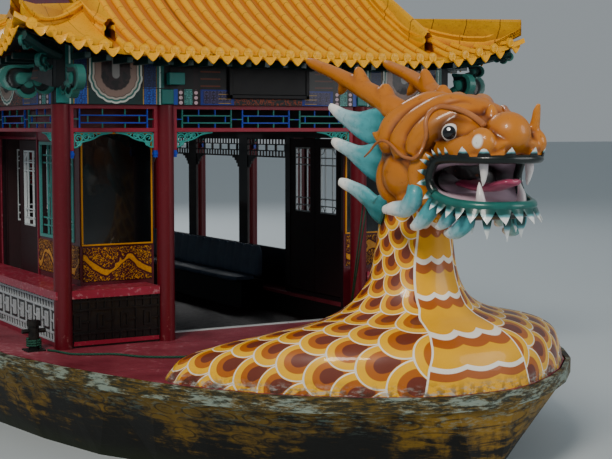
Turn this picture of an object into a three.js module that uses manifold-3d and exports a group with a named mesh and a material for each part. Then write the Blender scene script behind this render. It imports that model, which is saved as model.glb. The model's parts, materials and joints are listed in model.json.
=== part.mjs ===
// Dragon boat: a flat-bottomed lake passenger boat with a dragon's head and tail, two tiled
// pavilions and an open saloon between them. Millimetres, +Z up, +X towards the bow, +Y to port.
// The group's origin is amidships on the waterline. Inside it everything is placed from the
// superstructure's own datum: the front pillars' plane, on the centreline, at deck level.

import * as THREE from "three";
import { mergeVertices } from "three/addons/utils/BufferGeometryUtils.js";
import Module from "manifold-3d";

const wasm = await Module();
wasm.setup();

// Datum, hull and deck
const FRONT_PILLARS_X = 7000;
const DECK_HEIGHT = 850;
const DRAFT = 700;
const DECK_THICKNESS = 40;
const STRAKE_WIDTH = 60;
const STRAKE_DEPTH = 130;
const FIT = 0.3;
const LAP = 5;

// Superstructure
const PILLAR_RADIUS = 88;
const PILLAR_Y = 2220;
const PORTAL_PILLAR_Y = 1140;
const BAY = 1680;
const PAVILION_DEPTH = 2870;
const SALOON_BAYS = 5;
const SALOON_LENGTH = BAY * SALOON_BAYS;
const CABIN_LENGTH = 2 * PAVILION_DEPTH + SALOON_LENGTH;
const BEAM_UNDERSIDE = 2350;
const BEAM_HALF = 60;
const SALOON_BEAM_TOP = 2500;
const FLOOR_DROP = 270;
const FLOOR_BOARD = 30;
const FLOOR_HALF_WIDTH = 1820;
const FLOOR_END = 420;

// Porch walls, doors and benches
const WALL_Y = 1900;
const WALL_HALF = 30;
const FRONT_WALL_X = -330;
const BENCH_TOP = 560;
const BENCH_SLAB = 80;
const DOORWAY = { fore: -1556, aft: -2806, sill: 50, head: 2000 };
const LEAF_THICKNESS = 45;
const LEAF_SIDE_GAP = 6;
const LEAF_MEETING_GAP = 10;

// Roofs
const EAVE_HEIGHT = 2850;
const EAVE_OVERHANG = 500;
const ROOF_RISE = 1250;
const ROOF_THICKNESS = 90;
const GABLE_Y = 1880;
const CORNER_LIFT = 270;
const CORNER_REACH = 150;

const COLOURS = {
  hullPaint: [0x5c5a2a, 0.8, 0.0],
  deckPaint: [0x7a3440, 0.7, 0.0],
  strakeGrey: [0x8d9488, 0.8, 0.0],
  steel: [0x55595c, 0.5, 0.8],
  bronze: [0xa0783c, 0.4, 0.9],
  scaleYellow: [0xe8a80c, 0.45, 0.0],
  dragonOrange: [0xd4771c, 0.4, 0.0],
  teal: [0x2f8f8a, 0.45, 0.0],
  tongueRed: [0xb02a58, 0.4, 0.0],
  eyeWhite: [0xe8e8e4, 0.25, 0.0],
  pillarRed: [0x5c0f18, 0.4, 0.0],
  railRed: [0x9c1f34, 0.45, 0.0],
  panelMaroon: [0x4a0a14, 0.4, 0.0],
  seatBlue: [0x2c3646, 0.6, 0.0],
  glazedYellow: [0xf0a816, 0.3, 0.0],
  darkGlass: [0x0c0e10, 0.1, 0.0],
  blackIron: [0x141414, 0.6, 0.4],
  ropeGreen: [0x1f5a44, 0.8, 0.0],
};

// Solids

function toSolid(geometry) {
  const bare = geometry.clone();
  bare.deleteAttribute("normal");
  bare.deleteAttribute("uv");
  const merged = mergeVertices(bare, 1e-3);
  return new wasm.Manifold(new wasm.Mesh({
    numProp: 3,
    vertProperties: new Float32Array(merged.attributes.position.array),
    triVerts: new Uint32Array(merged.index.array),
  }));
}

function toGeometry(solid) {
  const mesh = solid.getMesh();
  const geometry = new THREE.BufferGeometry();
  geometry.setAttribute("position", new THREE.BufferAttribute(new Float32Array(mesh.vertProperties), 3));
  geometry.setIndex(new THREE.BufferAttribute(new Uint32Array(mesh.triVerts), 1));
  return geometry;
}

function join(...solids) {
  return solids.reduce((all, next) => all.add(next));
}

function cut(solid, ...tools) {
  return tools.reduce((left, tool) => left.subtract(tool), solid);
}

function block([x0, x1], [y0, y1], [z0, z1]) {
  const geometry = new THREE.BoxGeometry(Math.abs(x1 - x0), Math.abs(y1 - y0), Math.abs(z1 - z0));
  geometry.translate((x0 + x1) / 2, (y0 + y1) / 2, (z0 + z1) / 2);
  return toSolid(geometry);
}

function post(x, y, radius, z0, z1, sides = 12) {
  const geometry = new THREE.CylinderGeometry(radius, radius, z1 - z0, sides);
  geometry.rotateX(Math.PI / 2);
  geometry.translate(x, y, (z0 + z1) / 2);
  return toSolid(geometry);
}

// A flat outline of [x, y] points, raised from z0 to z1.
function slab(outline, z0, z1) {
  const shape = new THREE.Shape(outline.map(([x, y]) => new THREE.Vector2(x, y)));
  const geometry = new THREE.ExtrudeGeometry(shape, { depth: z1 - z0, bevelEnabled: false });
  geometry.translate(0, 0, z0);
  return toSolid(geometry);
}

// A flat outline of [x, z] points, drawn sideways from y0 to y1.
function plate(outline, y0, y1) {
  const shape = new THREE.Shape(outline.map(([x, z]) => new THREE.Vector2(x, z)));
  const geometry = new THREE.ExtrudeGeometry(shape, { depth: y1 - y0, bevelEnabled: false });
  geometry.rotateX(Math.PI / 2);
  geometry.translate(0, y1, 0);
  return toSolid(geometry);
}

// A flat outline of [y, z] points, drawn lengthways from x0 to x1.
function rail(outline, x0, x1) {
  const shape = new THREE.Shape(outline.map(([y, z]) => new THREE.Vector2(y, z)));
  const geometry = new THREE.ExtrudeGeometry(shape, { depth: x1 - x0, bevelEnabled: false });
  geometry.rotateX(Math.PI / 2);
  geometry.rotateZ(Math.PI / 2);
  geometry.translate(x0, 0, 0);
  return toSolid(geometry);
}

// Closed skin over rings of equally many points, with a flat fan over each end.
function skin(rings) {
  const points = rings.flat();
  const count = rings[0].length;
  const faces = [];
  for (let r = 0; r + 1 < rings.length; r += 1) {
    for (let i = 0; i < count; i += 1) {
      const a = r * count + i;
      const b = r * count + (i + 1) % count;
      faces.push(a, b, b + count, a, b + count, a + count);
    }
  }
  const last = (rings.length - 1) * count;
  for (let i = 1; i + 1 < count; i += 1) {
    faces.push(0, i + 1, i, last, last + i, last + i + 1);
  }
  const geometry = new THREE.BufferGeometry();
  geometry.setAttribute("position", new THREE.Float32BufferAttribute(points.flat(), 3));
  geometry.setIndex(faces);
  const solid = toSolid(geometry);
  return solid.volume() > 0 ? solid : toSolid(flipped(geometry));
}

function flipped(geometry) {
  const turned = geometry.clone();
  const index = Array.from(geometry.index.array);
  for (let i = 0; i < index.length; i += 3) {
    [index[i + 1], index[i + 2]] = [index[i + 2], index[i + 1]];
  }
  turned.setIndex(index);
  return turned;
}

// A tapering round or flat limb along a smooth line of points. Rows: x, y, z, width, height.
function limb(rows, { sides = 10, steps = 10, grow = 0 } = {}) {
  const curve = new THREE.CatmullRomCurve3(rows.map(([x, y, z]) => new THREE.Vector3(x, y, z)));
  const rings = [];
  const across = new THREE.Vector3(0, 1, 0);
  for (let s = 0; s <= steps; s += 1) {
    const t = s / steps;
    const place = t * (rows.length - 1);
    const row = Math.min(Math.floor(place), rows.length - 2);
    const blend = place - row;
    const half = [3, 4].map((c) => THREE.MathUtils.lerp(rows[row][c], rows[row + 1][c], blend) / 2 + grow);
    const centre = curve.getPoint(t);
    const ahead = curve.getTangent(t);
    const level = new THREE.Vector3(-ahead.y, ahead.x, 0);
    if (level.length() > 1e-3) {
      across.copy(level.multiplyScalar(Math.sign(level.dot(across)) || 1).normalize());
    }
    const up = new THREE.Vector3().crossVectors(ahead, across).normalize();
    const ends = s === 0 ? -grow : s === steps ? grow : 0;
    centre.addScaledVector(ahead, ends);
    rings.push(Array.from({ length: sides }, (_, i) => {
      const angle = (i / sides) * 2 * Math.PI;
      return centre.clone()
        .addScaledVector(across, half[0] * Math.cos(angle))
        .addScaledVector(up, half[1] * Math.sin(angle))
        .toArray();
    }));
  }
  return skin(rings);
}

// A tube of one width along a hand-picked route.
function cordTube(route, radius, sides, steps) {
  const curve = new THREE.CatmullRomCurve3(route.map((p) => new THREE.Vector3(...p)));
  const shape = new THREE.Shape();
  for (let i = 0; i < sides; i += 1) {
    const angle = (i / sides) * 2 * Math.PI;
    const point = [radius * Math.cos(angle), radius * Math.sin(angle)];
    i === 0 ? shape.moveTo(...point) : shape.lineTo(...point);
  }
  return toSolid(new THREE.ExtrudeGeometry(shape, { steps, extrudePath: curve, bevelEnabled: false }));
}

function mirrored(solid) {
  return solid.mirror([0, 1, 0]);
}

// Hull

// Half breadth of the outline at deck level, strake included. Columns: x, half breadth.
const OUTLINE = [
  [-18000, 1750], [-17600, 2250], [-16800, 2600], [-15500, 2850], [-13500, 3000], [-4000, 3000],
  [-2000, 2970], [0, 2850], [870, 2620], [1440, 2420], [1940, 2220], [2400, 1970], [2830, 1680],
  [3200, 1300], [3450, 950], [3620, 650], [3740, 350],
];
const BOW_X = 3800;
const STERN_X = -18000;

// The outline, moved in by an inset, as [x, y] points once round the deck.
function deckOutline(inset) {
  const port = OUTLINE.map(([x, half]) => [Math.max(x, STERN_X + inset), half - inset]);
  const starboard = port.map(([x, y]) => [x, -y]).reverse();
  return [...port, [BOW_X - inset, 0], ...starboard];
}

// Lengthwise run of the hull under its strake. Columns: x, half breadth at the waterline and at
// the bilge, height of the bottom, half breadth of the flat bottom.
const BOTTOM = -DECK_HEIGHT - DRAFT;
const LINES = [
  [-18000, 1150, 820, -520, 500], [-17600, 1700, 1250, -600, 800], [-16800, 2200, 1800, -740, 1100],
  [-16000, 2480, 2150, -960, 1300], [-15000, 2680, 2400, -1400, 1500], [-13500, 2850, 2600, BOTTOM, 1800],
  [-4000, 2880, 2650, BOTTOM, 1900], [-1000, 2700, 2350, BOTTOM, 1500], [870, 2200, 1700, -1520, 950],
  [1940, 1600, 1050, -1460, 550], [2830, 950, 520, -1360, 250], [3400, 380, 180, -1220, 80],
  [3740, 120, 60, -1050, 25],
];

// The columns of a table of rows sorted by x, interpolated at one x.
function columnsAt(table, x) {
  const last = table.length - 2;
  const row = Math.min(Math.max(table.filter(([start]) => start <= x).length - 1, 0), last);
  const next = table[row + 1];
  const share = (x - table[row][0]) / (next[0] - table[row][0]);
  return table[row].slice(1).map((value, i) => THREE.MathUtils.lerp(value, next[i + 1], share));
}

function hullSkin() {
  return skin(OUTLINE.map(([station, half]) => {
    const x = Math.max(station, STERN_X + STRAKE_WIDTH);
    const deck = half - STRAKE_WIDTH;
    const [waterline, bilge, bottom, flat] = columnsAt(LINES, x);
    const water = Math.max(-DECK_HEIGHT, bottom * 0.62);
    const side = [
      [deck, -DECK_THICKNESS - FIT], [deck, -STRAKE_DEPTH], [waterline, water], [bilge, bottom * 0.86],
      [flat, bottom],
    ];
    const ring = [...side, ...side.map(([y, z]) => [-y, z]).reverse()];
    return ring.map(([y, z]) => [x, y, z]);
  }));
}

const ENGINE_WELL = { x: [-15450, -14400], y: [-500, 500], floor: -1000 };
const RUDDER_STOCK_X = -17050;
const RUDDER_TOP = -860;
const FLOOR_X = [-CABIN_LENGTH + FLOOR_END, -FLOOR_END];

function hull() {
  const trunk = post(RUDDER_STOCK_X, 0, 90, RUDDER_TOP, -500);
  const well = block(ENGINE_WELL.x, ENGINE_WELL.y, [ENGINE_WELL.floor, 0]);
  const cabinWell = block(FLOOR_X, [-FLOOR_HALF_WIDTH, FLOOR_HALF_WIDTH], [-FLOOR_DROP - FLOOR_BOARD, 0]);
  return cut(join(hullSkin(), trunk), well, cabinWell);
}

function deck() {
  const boards = slab(deckOutline(STRAKE_WIDTH + 20), -DECK_THICKNESS, 0);
  const hatchHole = block(ENGINE_WELL.x, ENGINE_WELL.y, [-100, 100]);
  const cabinHole = block(FLOOR_X, [-FLOOR_HALF_WIDTH, FLOOR_HALF_WIDTH], [-100, 100]);
  return cut(boards, hatchHole, cabinHole);
}

function cabinFloor() {
  return block(
    [FLOOR_X[0] + FIT, FLOOR_X[1] - FIT],
    [-FLOOR_HALF_WIDTH + FIT, FLOOR_HALF_WIDTH - FIT],
    [-FLOOR_DROP - FLOOR_BOARD, -FLOOR_DROP],
  );
}

function strake() {
  const outer = slab(deckOutline(0), -STRAKE_DEPTH, 0);
  const inner = slab(deckOutline(STRAKE_WIDTH - 1), -2 * STRAKE_DEPTH, STRAKE_DEPTH);
  return cut(outer, inner);
}

// Stern gear

const PROPELLER = { x: -16420, z: -1230, radius: 320, hub: 75, blades: 4 };
const SKEG_HALF = 35;
const SHAFT = { radius: 30, length: 300 };
const HEEL = { end: -17160, top: -1560, underside: -1640 };
const PIVOT_GAP = 3;

function shaftAlongX(radius, sides, [x0, x1]) {
  const geometry = new THREE.CylinderGeometry(radius, radius, x1 - x0, sides);
  geometry.rotateZ(Math.PI / 2);
  geometry.translate((x0 + x1) / 2, 0, 0);
  return toSolid(geometry);
}

function skeg() {
  const heel = [
    [-14400, -1500], [-15000, -1360], [-16000, -920], [-16180, -870], [-16180, HEEL.top],
    [HEEL.end, HEEL.top], [HEEL.end, HEEL.underside], [-14400, HEEL.underside],
  ];
  const blade = plate(heel, -SKEG_HALF, SKEG_HALF);
  const tube = shaftAlongX(85, 12, [-16330, -15630]).translate([0, 0, PROPELLER.z]);
  const bore = shaftAlongX((SHAFT.radius + FIT) / Math.cos(Math.PI / 24), 24, [-17000, PROPELLER.x + SHAFT.length + 2]);
  return cut(join(blade, tube), hullSkin().translate([0, 0, -FIT]), bore.translate([0, 0, PROPELLER.z]));
}

function propeller() {
  const hub = new THREE.CylinderGeometry(PROPELLER.hub, PROPELLER.hub * 0.6, 170, 12);
  hub.rotateZ(-Math.PI / 2);
  const blade = new THREE.SphereGeometry(1, 8, 6);
  blade.scale(18, 110, (PROPELLER.radius - 20) / 2);
  blade.translate(0, 0, PROPELLER.radius - (PROPELLER.radius - 20) / 2);
  blade.rotateZ(THREE.MathUtils.degToRad(35));
  const blades = Array.from({ length: PROPELLER.blades }, (_, i) => {
    const turned = blade.clone();
    turned.rotateX((i * 2 * Math.PI) / PROPELLER.blades);
    return toSolid(turned);
  });
  const shaft = shaftAlongX(SHAFT.radius, 16, [0, SHAFT.length]);
  return join(toSolid(hub), shaft, ...blades).translate([PROPELLER.x, 0, PROPELLER.z]);
}

function rudder() {
  const outline = [
    [RUDDER_STOCK_X + 110, -1510], [RUDDER_STOCK_X + 110, -930], [RUDDER_STOCK_X - 560, -930],
    [RUDDER_STOCK_X - 640, -1480],
  ];
  const stock = post(RUDDER_STOCK_X, 0, 45, HEEL.top + PIVOT_GAP, RUDDER_TOP - FIT);
  return join(plate(outline, -25, 25), stock);
}

function engineBlock() {
  return block([-15350, -14500], [-340, 340], [ENGINE_WELL.floor + FIT, -330]);
}

const COAMING = { width: 70, top: 150 };
const HATCH = { lap: 20, thickness: 40 };

function hatchCoaming() {
  const [x0, x1] = ENGINE_WELL.x;
  const [y0, y1] = ENGINE_WELL.y;
  const outer = block([x0 - COAMING.width, x1 + COAMING.width], [y0 - COAMING.width, y1 + COAMING.width],
    [FIT, COAMING.top]);
  return cut(outer, block(ENGINE_WELL.x, ENGINE_WELL.y, [-100, COAMING.top + 100]));
}

function engineHatch() {
  const reach = COAMING.width + HATCH.lap;
  const [x0, x1] = ENGINE_WELL.x;
  const [y0, y1] = ENGINE_WELL.y;
  const z0 = COAMING.top + FIT;
  return block([x0 - reach, x1 + reach], [y0 - reach, y1 + reach], [z0, z0 + HATCH.thickness]);
}

// Dragon

const NECK = { x: 2710, radius: 320 };
const CHEST_AFT = { x: 620, edgeX: 1900, edgeY: 2120 };

// How the chest falls from the neck to its foot. Columns: share of the way out, height of the
// surface towards the bow, height of the surface towards the stern.
const CHEST = [
  [1.0, FIT, FIT], [0.97, 150, 12], [0.92, 290, 40], [0.82, 385, 85], [0.66, 460, 160], [0.47, 515, 270],
  [0.32, 560, 390], [0.19, 650, 530], [0.1, 790, 720], [0.04, 980, 950], [0.0, 1250, 1250],
];

// Distance from the neck's axis to the chest's foot, in one direction round the neck.
function chestReach(angle) {
  const way = new THREE.Vector2(Math.cos(angle), Math.sin(angle));
  const aft = [[CHEST_AFT.edgeX, -CHEST_AFT.edgeY], [CHEST_AFT.x, 0], [CHEST_AFT.edgeX, CHEST_AFT.edgeY]];
  const rim = deckOutline(STRAKE_WIDTH + 30).filter(([x]) => x > CHEST_AFT.edgeX);
  const outline = [...rim, ...aft];
  for (let i = 0; i < outline.length; i += 1) {
    const [ax, ay] = outline[i];
    const [bx, by] = outline[(i + 1) % outline.length];
    const edge = new THREE.Vector2(bx - ax, by - ay);
    const start = new THREE.Vector2(ax - NECK.x, ay);
    const span = way.x * edge.y - way.y * edge.x;
    const reach = (start.x * edge.y - start.y * edge.x) / span;
    const along = (start.x * way.y - start.y * way.x) / span;
    if (reach > 0 && along >= 0 && along <= 1) {
      return reach;
    }
  }
  throw new Error("the chest's foot has a gap");
}

const NECK_ROWS = [
  [2710, 0, 1180, 640, 640], [2715, 0, 1420, 620, 600], [2780, 0, 1620, 540, 520],
];

function dragonBody() {
  const sides = 28;
  const angles = Array.from({ length: sides }, (_, i) => (i / sides) * 2 * Math.PI);
  const rings = CHEST.map(([share, fore, aft]) => angles.map((angle) => {
    const bowward = THREE.MathUtils.smoothstep(Math.cos(angle), -0.95, 0.15);
    const reach = NECK.radius + share * (chestReach(angle) - NECK.radius);
    const z = THREE.MathUtils.lerp(aft, fore, bowward);
    return [NECK.x + reach * Math.cos(angle), reach * Math.sin(angle), z];
  }));
  const solid = join(skin(rings), limb(NECK_ROWS, { sides: 14, steps: 3 }));
  return cut(solid, mane(FIT), mirrored(mane(FIT)), beard(FIT));
}

// Rows of the head's parts: x, y, z of the middle, width, height.
const SKULL_ROWS = [
  [2500, 0, 1790, 420, 480], [2620, 0, 1810, 700, 800], [2900, 0, 1850, 860, 980],
  [3180, 0, 1910, 880, 920], [3450, 0, 1990, 780, 700], [3680, 0, 2040, 680, 420],
  [3880, 0, 2020, 620, 300], [4030, 0, 2010, 520, 250], [4120, 0, 1980, 340, 160],
];
const JAW_ROWS = [
  [3000, 0, 1590, 620, 420], [3280, 0, 1500, 740, 300], [3520, 0, 1475, 740, 190],
  [3780, 0, 1470, 640, 150], [3960, 0, 1480, 500, 120], [4070, 0, 1500, 280, 80],
];
const TONGUE_ROWS = [
  [3420, 0, 1690, 260, 110], [3600, 0, 1670, 260, 90], [3820, 0, 1680, 240, 80],
  [4040, 0, 1710, 150, 50],
];

// Folds of the face on the starboard side. Columns: x, y, z of the middle, thickness.
const FACE_FOLDS = [
  [[3800, -60, 2240, 110], [3570, -240, 2230, 220], [3420, -330, 2120, 240], [3290, -390, 1910, 180]],
  [[3600, -50, 2300, 130], [3340, -220, 2270, 230], [3140, -320, 2110, 260], [3120, -380, 1890, 180]],
  [[3320, -40, 2320, 150], [3050, -200, 2270, 250], [2910, -320, 2140, 260], [2910, -360, 1930, 180]],
  [[3380, -310, 2080, 100], [3520, -240, 2210, 120], [3720, -180, 2200, 100]],
  [[3470, -370, 1900, 110], [3350, -400, 1800, 160], [3350, -370, 1600, 160], [3450, -290, 1500, 110]],
  [[3180, -300, 1780, 220], [3040, -340, 1700, 320], [2880, -280, 1640, 220]],
];
const NOSE = { x: 3960, z: 2085, radius: 175 };
const NOSTRIL = { x: 3950, y: 245, z: 2020, radius: 105 };

const HORN_ROWS = [
  [3000, -210, 2190, 220, 220], [2640, -320, 2370, 190, 190], [2450, -350, 2450, 170, 170],
  [2200, -380, 2545, 140, 140], [1950, -400, 2630, 116, 116], [1600, -420, 2740, 70, 70],
];
const HORN_SNAG_ROWS = [
  [[2720, -310, 2370, 160, 160], [2695, -300, 2490, 70, 70]],
  [[2440, -350, 2460, 150, 150], [2370, -350, 2570, 110, 110], [2335, -350, 2650, 50, 50]],
  [[2170, -380, 2530, 100, 100], [2060, -365, 2430, 36, 36]],
];
const MANE_ROWS = [
  [[2780, -330, 2040, 90, 230], [2600, -410, 2120, 90, 250], [2370, -500, 2215, 74, 150], [2200, -550, 2310, 40, 60]],
  [[2760, -330, 1800, 90, 340], [2600, -410, 1860, 90, 300], [2420, -500, 1940, 74, 140], [2250, -550, 2010, 40, 60]],
  [[2740, -330, 1440, 90, 280], [2630, -410, 1510, 90, 240], [2490, -490, 1610, 74, 130], [2360, -550, 1660, 40, 60]],
];
const WHISKER_ROWS = [
  [3910, -190, 2110, 46, 46], [3790, -225, 2210, 46, 46], [3640, -270, 2265, 44, 44],
  [3500, -330, 2225, 42, 42], [3470, -430, 2000, 38, 38], [3400, -490, 1895, 36, 36],
  [3240, -520, 1915, 34, 34], [3006, -545, 2020, 30, 30], [2850, -560, 1945, 26, 26],
  [2750, -565, 1882, 18, 18],
];
const EYE = { x: 3645, y: 310, z: 2088, radius: 78 };
const FANG_ROWS = [
  [[3945, -225, 1930, 90, 90], [3950, -225, 1800, 64, 64], [3935, -222, 1676, 14, 14]],
  [[3890, -200, 1480, 90, 90], [3882, -204, 1600, 64, 64], [3865, -200, 1704, 14, 14]],
];

// Flames that hook back under the cheek and the jaw, on the starboard side.
const BEARD_ROWS = [
  [[3300, -370, 1690, 110, 110], [3340, -450, 1560, 160, 150], [3240, -460, 1475, 150, 130], [2970, -490, 1450, 60, 50]],
  [[3500, -340, 1560, 110, 110], [3440, -395, 1430, 130, 130], [3280, -430, 1325, 40, 40]],
  [[3670, -290, 1510, 100, 100], [3640, -320, 1410, 120, 110], [3510, -350, 1335, 34, 34]],
  [[3800, -240, 1470, 110, 100], [3760, -275, 1350, 130, 110], [3550, -295, 1290, 34, 34]],
];
// Flames under the chin. Columns: x, y, z of the tip, width at the root.
const CHIN_FLAMES = [[3930, -170, 1265, 100], [3990, 0, 1240, 110]];

function eye(side, grow) {
  const ball = new THREE.SphereGeometry(EYE.radius + grow, 10, 8);
  ball.translate(EYE.x, side * EYE.y, EYE.z);
  return toSolid(ball);
}

function horn(grow = 0) {
  const snags = HORN_SNAG_ROWS.map((rows) => limb(rows, { sides: 6, steps: 2, grow }));
  return join(limb(HORN_ROWS, { sides: 8, steps: 8, grow }), ...snags);
}

function mane(grow = 0) {
  const fins = MANE_ROWS.map((rows) => limb(rows, { sides: 8, steps: 6, grow }));
  const root = block([2700 - grow, 2800 + grow], [-350 - grow, -300 + grow], [1440 - grow, 2080 + grow]);
  return join(root, ...fins);
}

function whisker(grow = 0) {
  return limb(WHISKER_ROWS, { sides: 6, steps: 22, grow });
}

function tongue(grow = 0) {
  return limb(TONGUE_ROWS, { sides: 8, steps: 5, grow });
}

function beard(grow = 0) {
  const rib = { half: 22, bottom: 1450, top: 1492 };
  const hooks = BEARD_ROWS.map((rows) => limb(rows, { sides: 6, steps: 5, grow }));
  const chin = CHIN_FLAMES.map(([x, y, tip, width]) => limb(
    [[x - 10, y, 1475, 40, width], [x, y, (1475 + tip) / 2, 36, width * 0.7], [x + 10, y, tip, 14, 20]],
    { sides: 6, steps: 2, grow }));
  const band = block([3280 - grow, 3990 + grow], [-60 - grow, 60 + grow], [rib.bottom - grow, rib.top + grow]);
  const roots = [...BEARD_ROWS.map((rows) => rows[1]), ...CHIN_FLAMES];
  const ribs = roots.map(([x, y]) => block(
    [x - rib.half - grow, x + rib.half + grow], [y - grow, 0], [rib.bottom - grow, rib.top + grow]));
  const half = join(band, ...ribs, ...hooks, ...chin);
  return join(half, mirrored(half));
}

function faceBall({ x, y = 0, z, radius }) {
  const ball = new THREE.SphereGeometry(radius, 12, 9);
  ball.translate(x, -y, z);
  return toSolid(ball);
}

function dragonHead() {
  const skull = limb(SKULL_ROWS, { sides: 14, steps: 12 });
  const jaw = limb(JAW_ROWS, { sides: 12, steps: 6 });
  const folds = FACE_FOLDS.map((rows) => limb(rows.map(([x, y, z, d]) => [x, y, z, d, d]), { sides: 8, steps: 6 }));
  const fangs = FANG_ROWS.map((rows) => limb(rows, { sides: 6, steps: 2 }));
  const side = [...folds, ...fangs, faceBall(NOSTRIL)];
  const solid = join(skull, jaw, faceBall(NOSE), ...side, ...side.map(mirrored));
  const cuts = [horn(FIT), mane(FIT), whisker(FIT), eye(-1, FIT)];
  const neck = limb(NECK_ROWS, { sides: 14, steps: 3, grow: FIT });
  return cut(solid, ...cuts, ...cuts.map(mirrored), tongue(FIT), beard(FIT), beard(0), neck);
}

const TAIL_ROWS = [
  [-16350, 0, 60, 1300, 500], [-16900, 0, 330, 900, 620], [-17450, 0, 760, 620, 560],
  [-17850, 0, 1350, 460, 460], [-17950, 0, 1950, 340, 340], [-17700, 0, 2480, 240, 240],
  [-17420, 0, 2760, 150, 150],
];
const TAIL_FIN_ROWS = [
  [[-17560, 0, 2640, 60, 240], [-17380, 0, 3010, 60, 260], [-17560, 0, 3420, 20, 50]],
  [[-17560, 0, 2640, 60, 240], [-17180, 0, 2920, 60, 240], [-16980, 0, 3260, 20, 50]],
  [[-17560, 0, 2640, 60, 220], [-17150, 0, 2720, 60, 220], [-16800, 0, 2900, 20, 50]],
];

function tailFin(grow = 0) {
  return join(...TAIL_FIN_ROWS.map((rows) => limb(rows, { sides: 6, steps: 4, grow })));
}

function dragonTail() {
  const body = limb(TAIL_ROWS, { sides: 12, steps: 12 });
  const below = block([-19000, -15000], [-2000, 2000], [-1500, FIT]);
  return cut(body, below, tailFin(FIT));
}

// Superstructure

const PILLARS_X = [0, ...Array.from({ length: SALOON_BAYS + 1 }, (_, i) => -PAVILION_DEPTH - i * BAY), -CABIN_LENGTH];
const ROOF_HALF_DEPTH = PAVILION_DEPTH / 2 + EAVE_OVERHANG;
const ROOF_HALF_WIDTH = PILLAR_Y + EAVE_OVERHANG;

// Height of a roof slope over its eave, at a distance in from it.
function slope(distance) {
  const share = distance / ROOF_HALF_DEPTH;
  return ROOF_RISE * (0.55 * share + 0.45 * share * share);
}

// Beams reach into the roof's underside by this much before they are cut to meet it.
const WALL_PLATE_TOP = EAVE_HEIGHT - ROOF_THICKNESS + slope(EAVE_OVERHANG - BEAM_HALF) + 40;
const ROOF_MIDDLE = { fore: -PAVILION_DEPTH / 2, aft: -CABIN_LENGTH + PAVILION_DEPTH / 2 };

function underRoofs(solid) {
  const roofs = Object.values(ROOF_MIDDLE).map((x) => pavilionRoof().translate([x, 0, -FIT]));
  return cut(solid, ...roofs);
}

// The frieze that hangs below a beam between two pillars: two rails and two short posts.
const FRIEZE = { rail: 40, half: 22, bottom: 2085, post: 40, postFoot: 1880, bars: 2 };

function frieze(from, to, place) {
  const rails = [[BEAM_UNDERSIDE - FRIEZE.rail, BEAM_UNDERSIDE + 2 * LAP], [FRIEZE.bottom, FRIEZE.bottom + FRIEZE.rail]];
  const pieces = rails.map((z) => place([from, to], z, FRIEZE.half));
  const inward = Math.sign(to - from) * FRIEZE.post;
  pieces.push(place([from, from + inward], [FRIEZE.postFoot, BEAM_UNDERSIDE], FRIEZE.half));
  pieces.push(place([to - inward, to], [FRIEZE.postFoot, BEAM_UNDERSIDE], FRIEZE.half));
  for (let i = 1; i <= FRIEZE.bars; i += 1) {
    const middle = THREE.MathUtils.lerp(from, to, i / (FRIEZE.bars + 1));
    pieces.push(place([middle - 10, middle + 10], [FRIEZE.bottom, BEAM_UNDERSIDE], 10));
  }
  return join(...pieces);
}

function sideFrieze(from, to) {
  return frieze(from, to, (x, z, half) => block(x, [PILLAR_Y - half, PILLAR_Y + half], z));
}

function colonnade() {
  const pillars = PILLARS_X.map((x) => post(x, PILLAR_Y, PILLAR_RADIUS, FIT, BEAM_UNDERSIDE + LAP));
  const beamY = [PILLAR_Y - BEAM_HALF, PILLAR_Y + BEAM_HALF];
  const pavilionBeams = [[-PAVILION_DEPTH - BEAM_HALF, BEAM_HALF],
    [-CABIN_LENGTH - BEAM_HALF, -CABIN_LENGTH + PAVILION_DEPTH + BEAM_HALF]]
    .map((x) => block(x, beamY, [BEAM_UNDERSIDE, WALL_PLATE_TOP]));
  const saloonBeam = block([-CABIN_LENGTH, 0], beamY, [BEAM_UNDERSIDE, SALOON_BEAM_TOP]);
  const friezes = PILLARS_X.slice(1).map((x, i) => sideFrieze(PILLARS_X[i] - PILLAR_RADIUS + 6, x + PILLAR_RADIUS - 6));
  return underRoofs(join(...pillars, ...pavilionBeams, saloonBeam, ...friezes));
}

// The open end of a pavilion: two pillars and the beam between the corner pillars.
function portal(x) {
  const reach = PILLAR_Y - BEAM_HALF - FIT;
  const underside = BEAM_UNDERSIDE + LAP + FIT;
  const pillars = [-1, 1].map((s) => post(x, s * PORTAL_PILLAR_Y, PILLAR_RADIUS, FIT, underside + LAP));
  const beam = block([x - BEAM_HALF, x + BEAM_HALF], [-reach, reach], [underside, WALL_PLATE_TOP]);
  const place = (y, z, half) => block([x - half, x + half], y, z);
  const inner = PORTAL_PILLAR_Y - PILLAR_RADIUS + 6;
  const outer = [PORTAL_PILLAR_Y + PILLAR_RADIUS - 6, PILLAR_Y - PILLAR_RADIUS - FIT];
  const friezes = [frieze(-inner, inner, place), frieze(...outer, place), frieze(-outer[0], -outer[1], place)];
  return underRoofs(join(...pillars, beam, ...friezes));
}

// The inner beam that closes a pavilion towards the saloon, above head height.
function innerBeam(x) {
  const reach = PILLAR_Y - BEAM_HALF - FIT;
  return underRoofs(block([x - BEAM_HALF, x + BEAM_HALF], [-reach, reach], [SALOON_BEAM_TOP + 280, WALL_PLATE_TOP]));
}

const SIDE_WINDOW = { sill: 500, head: 1740, jamb: 130 };

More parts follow.
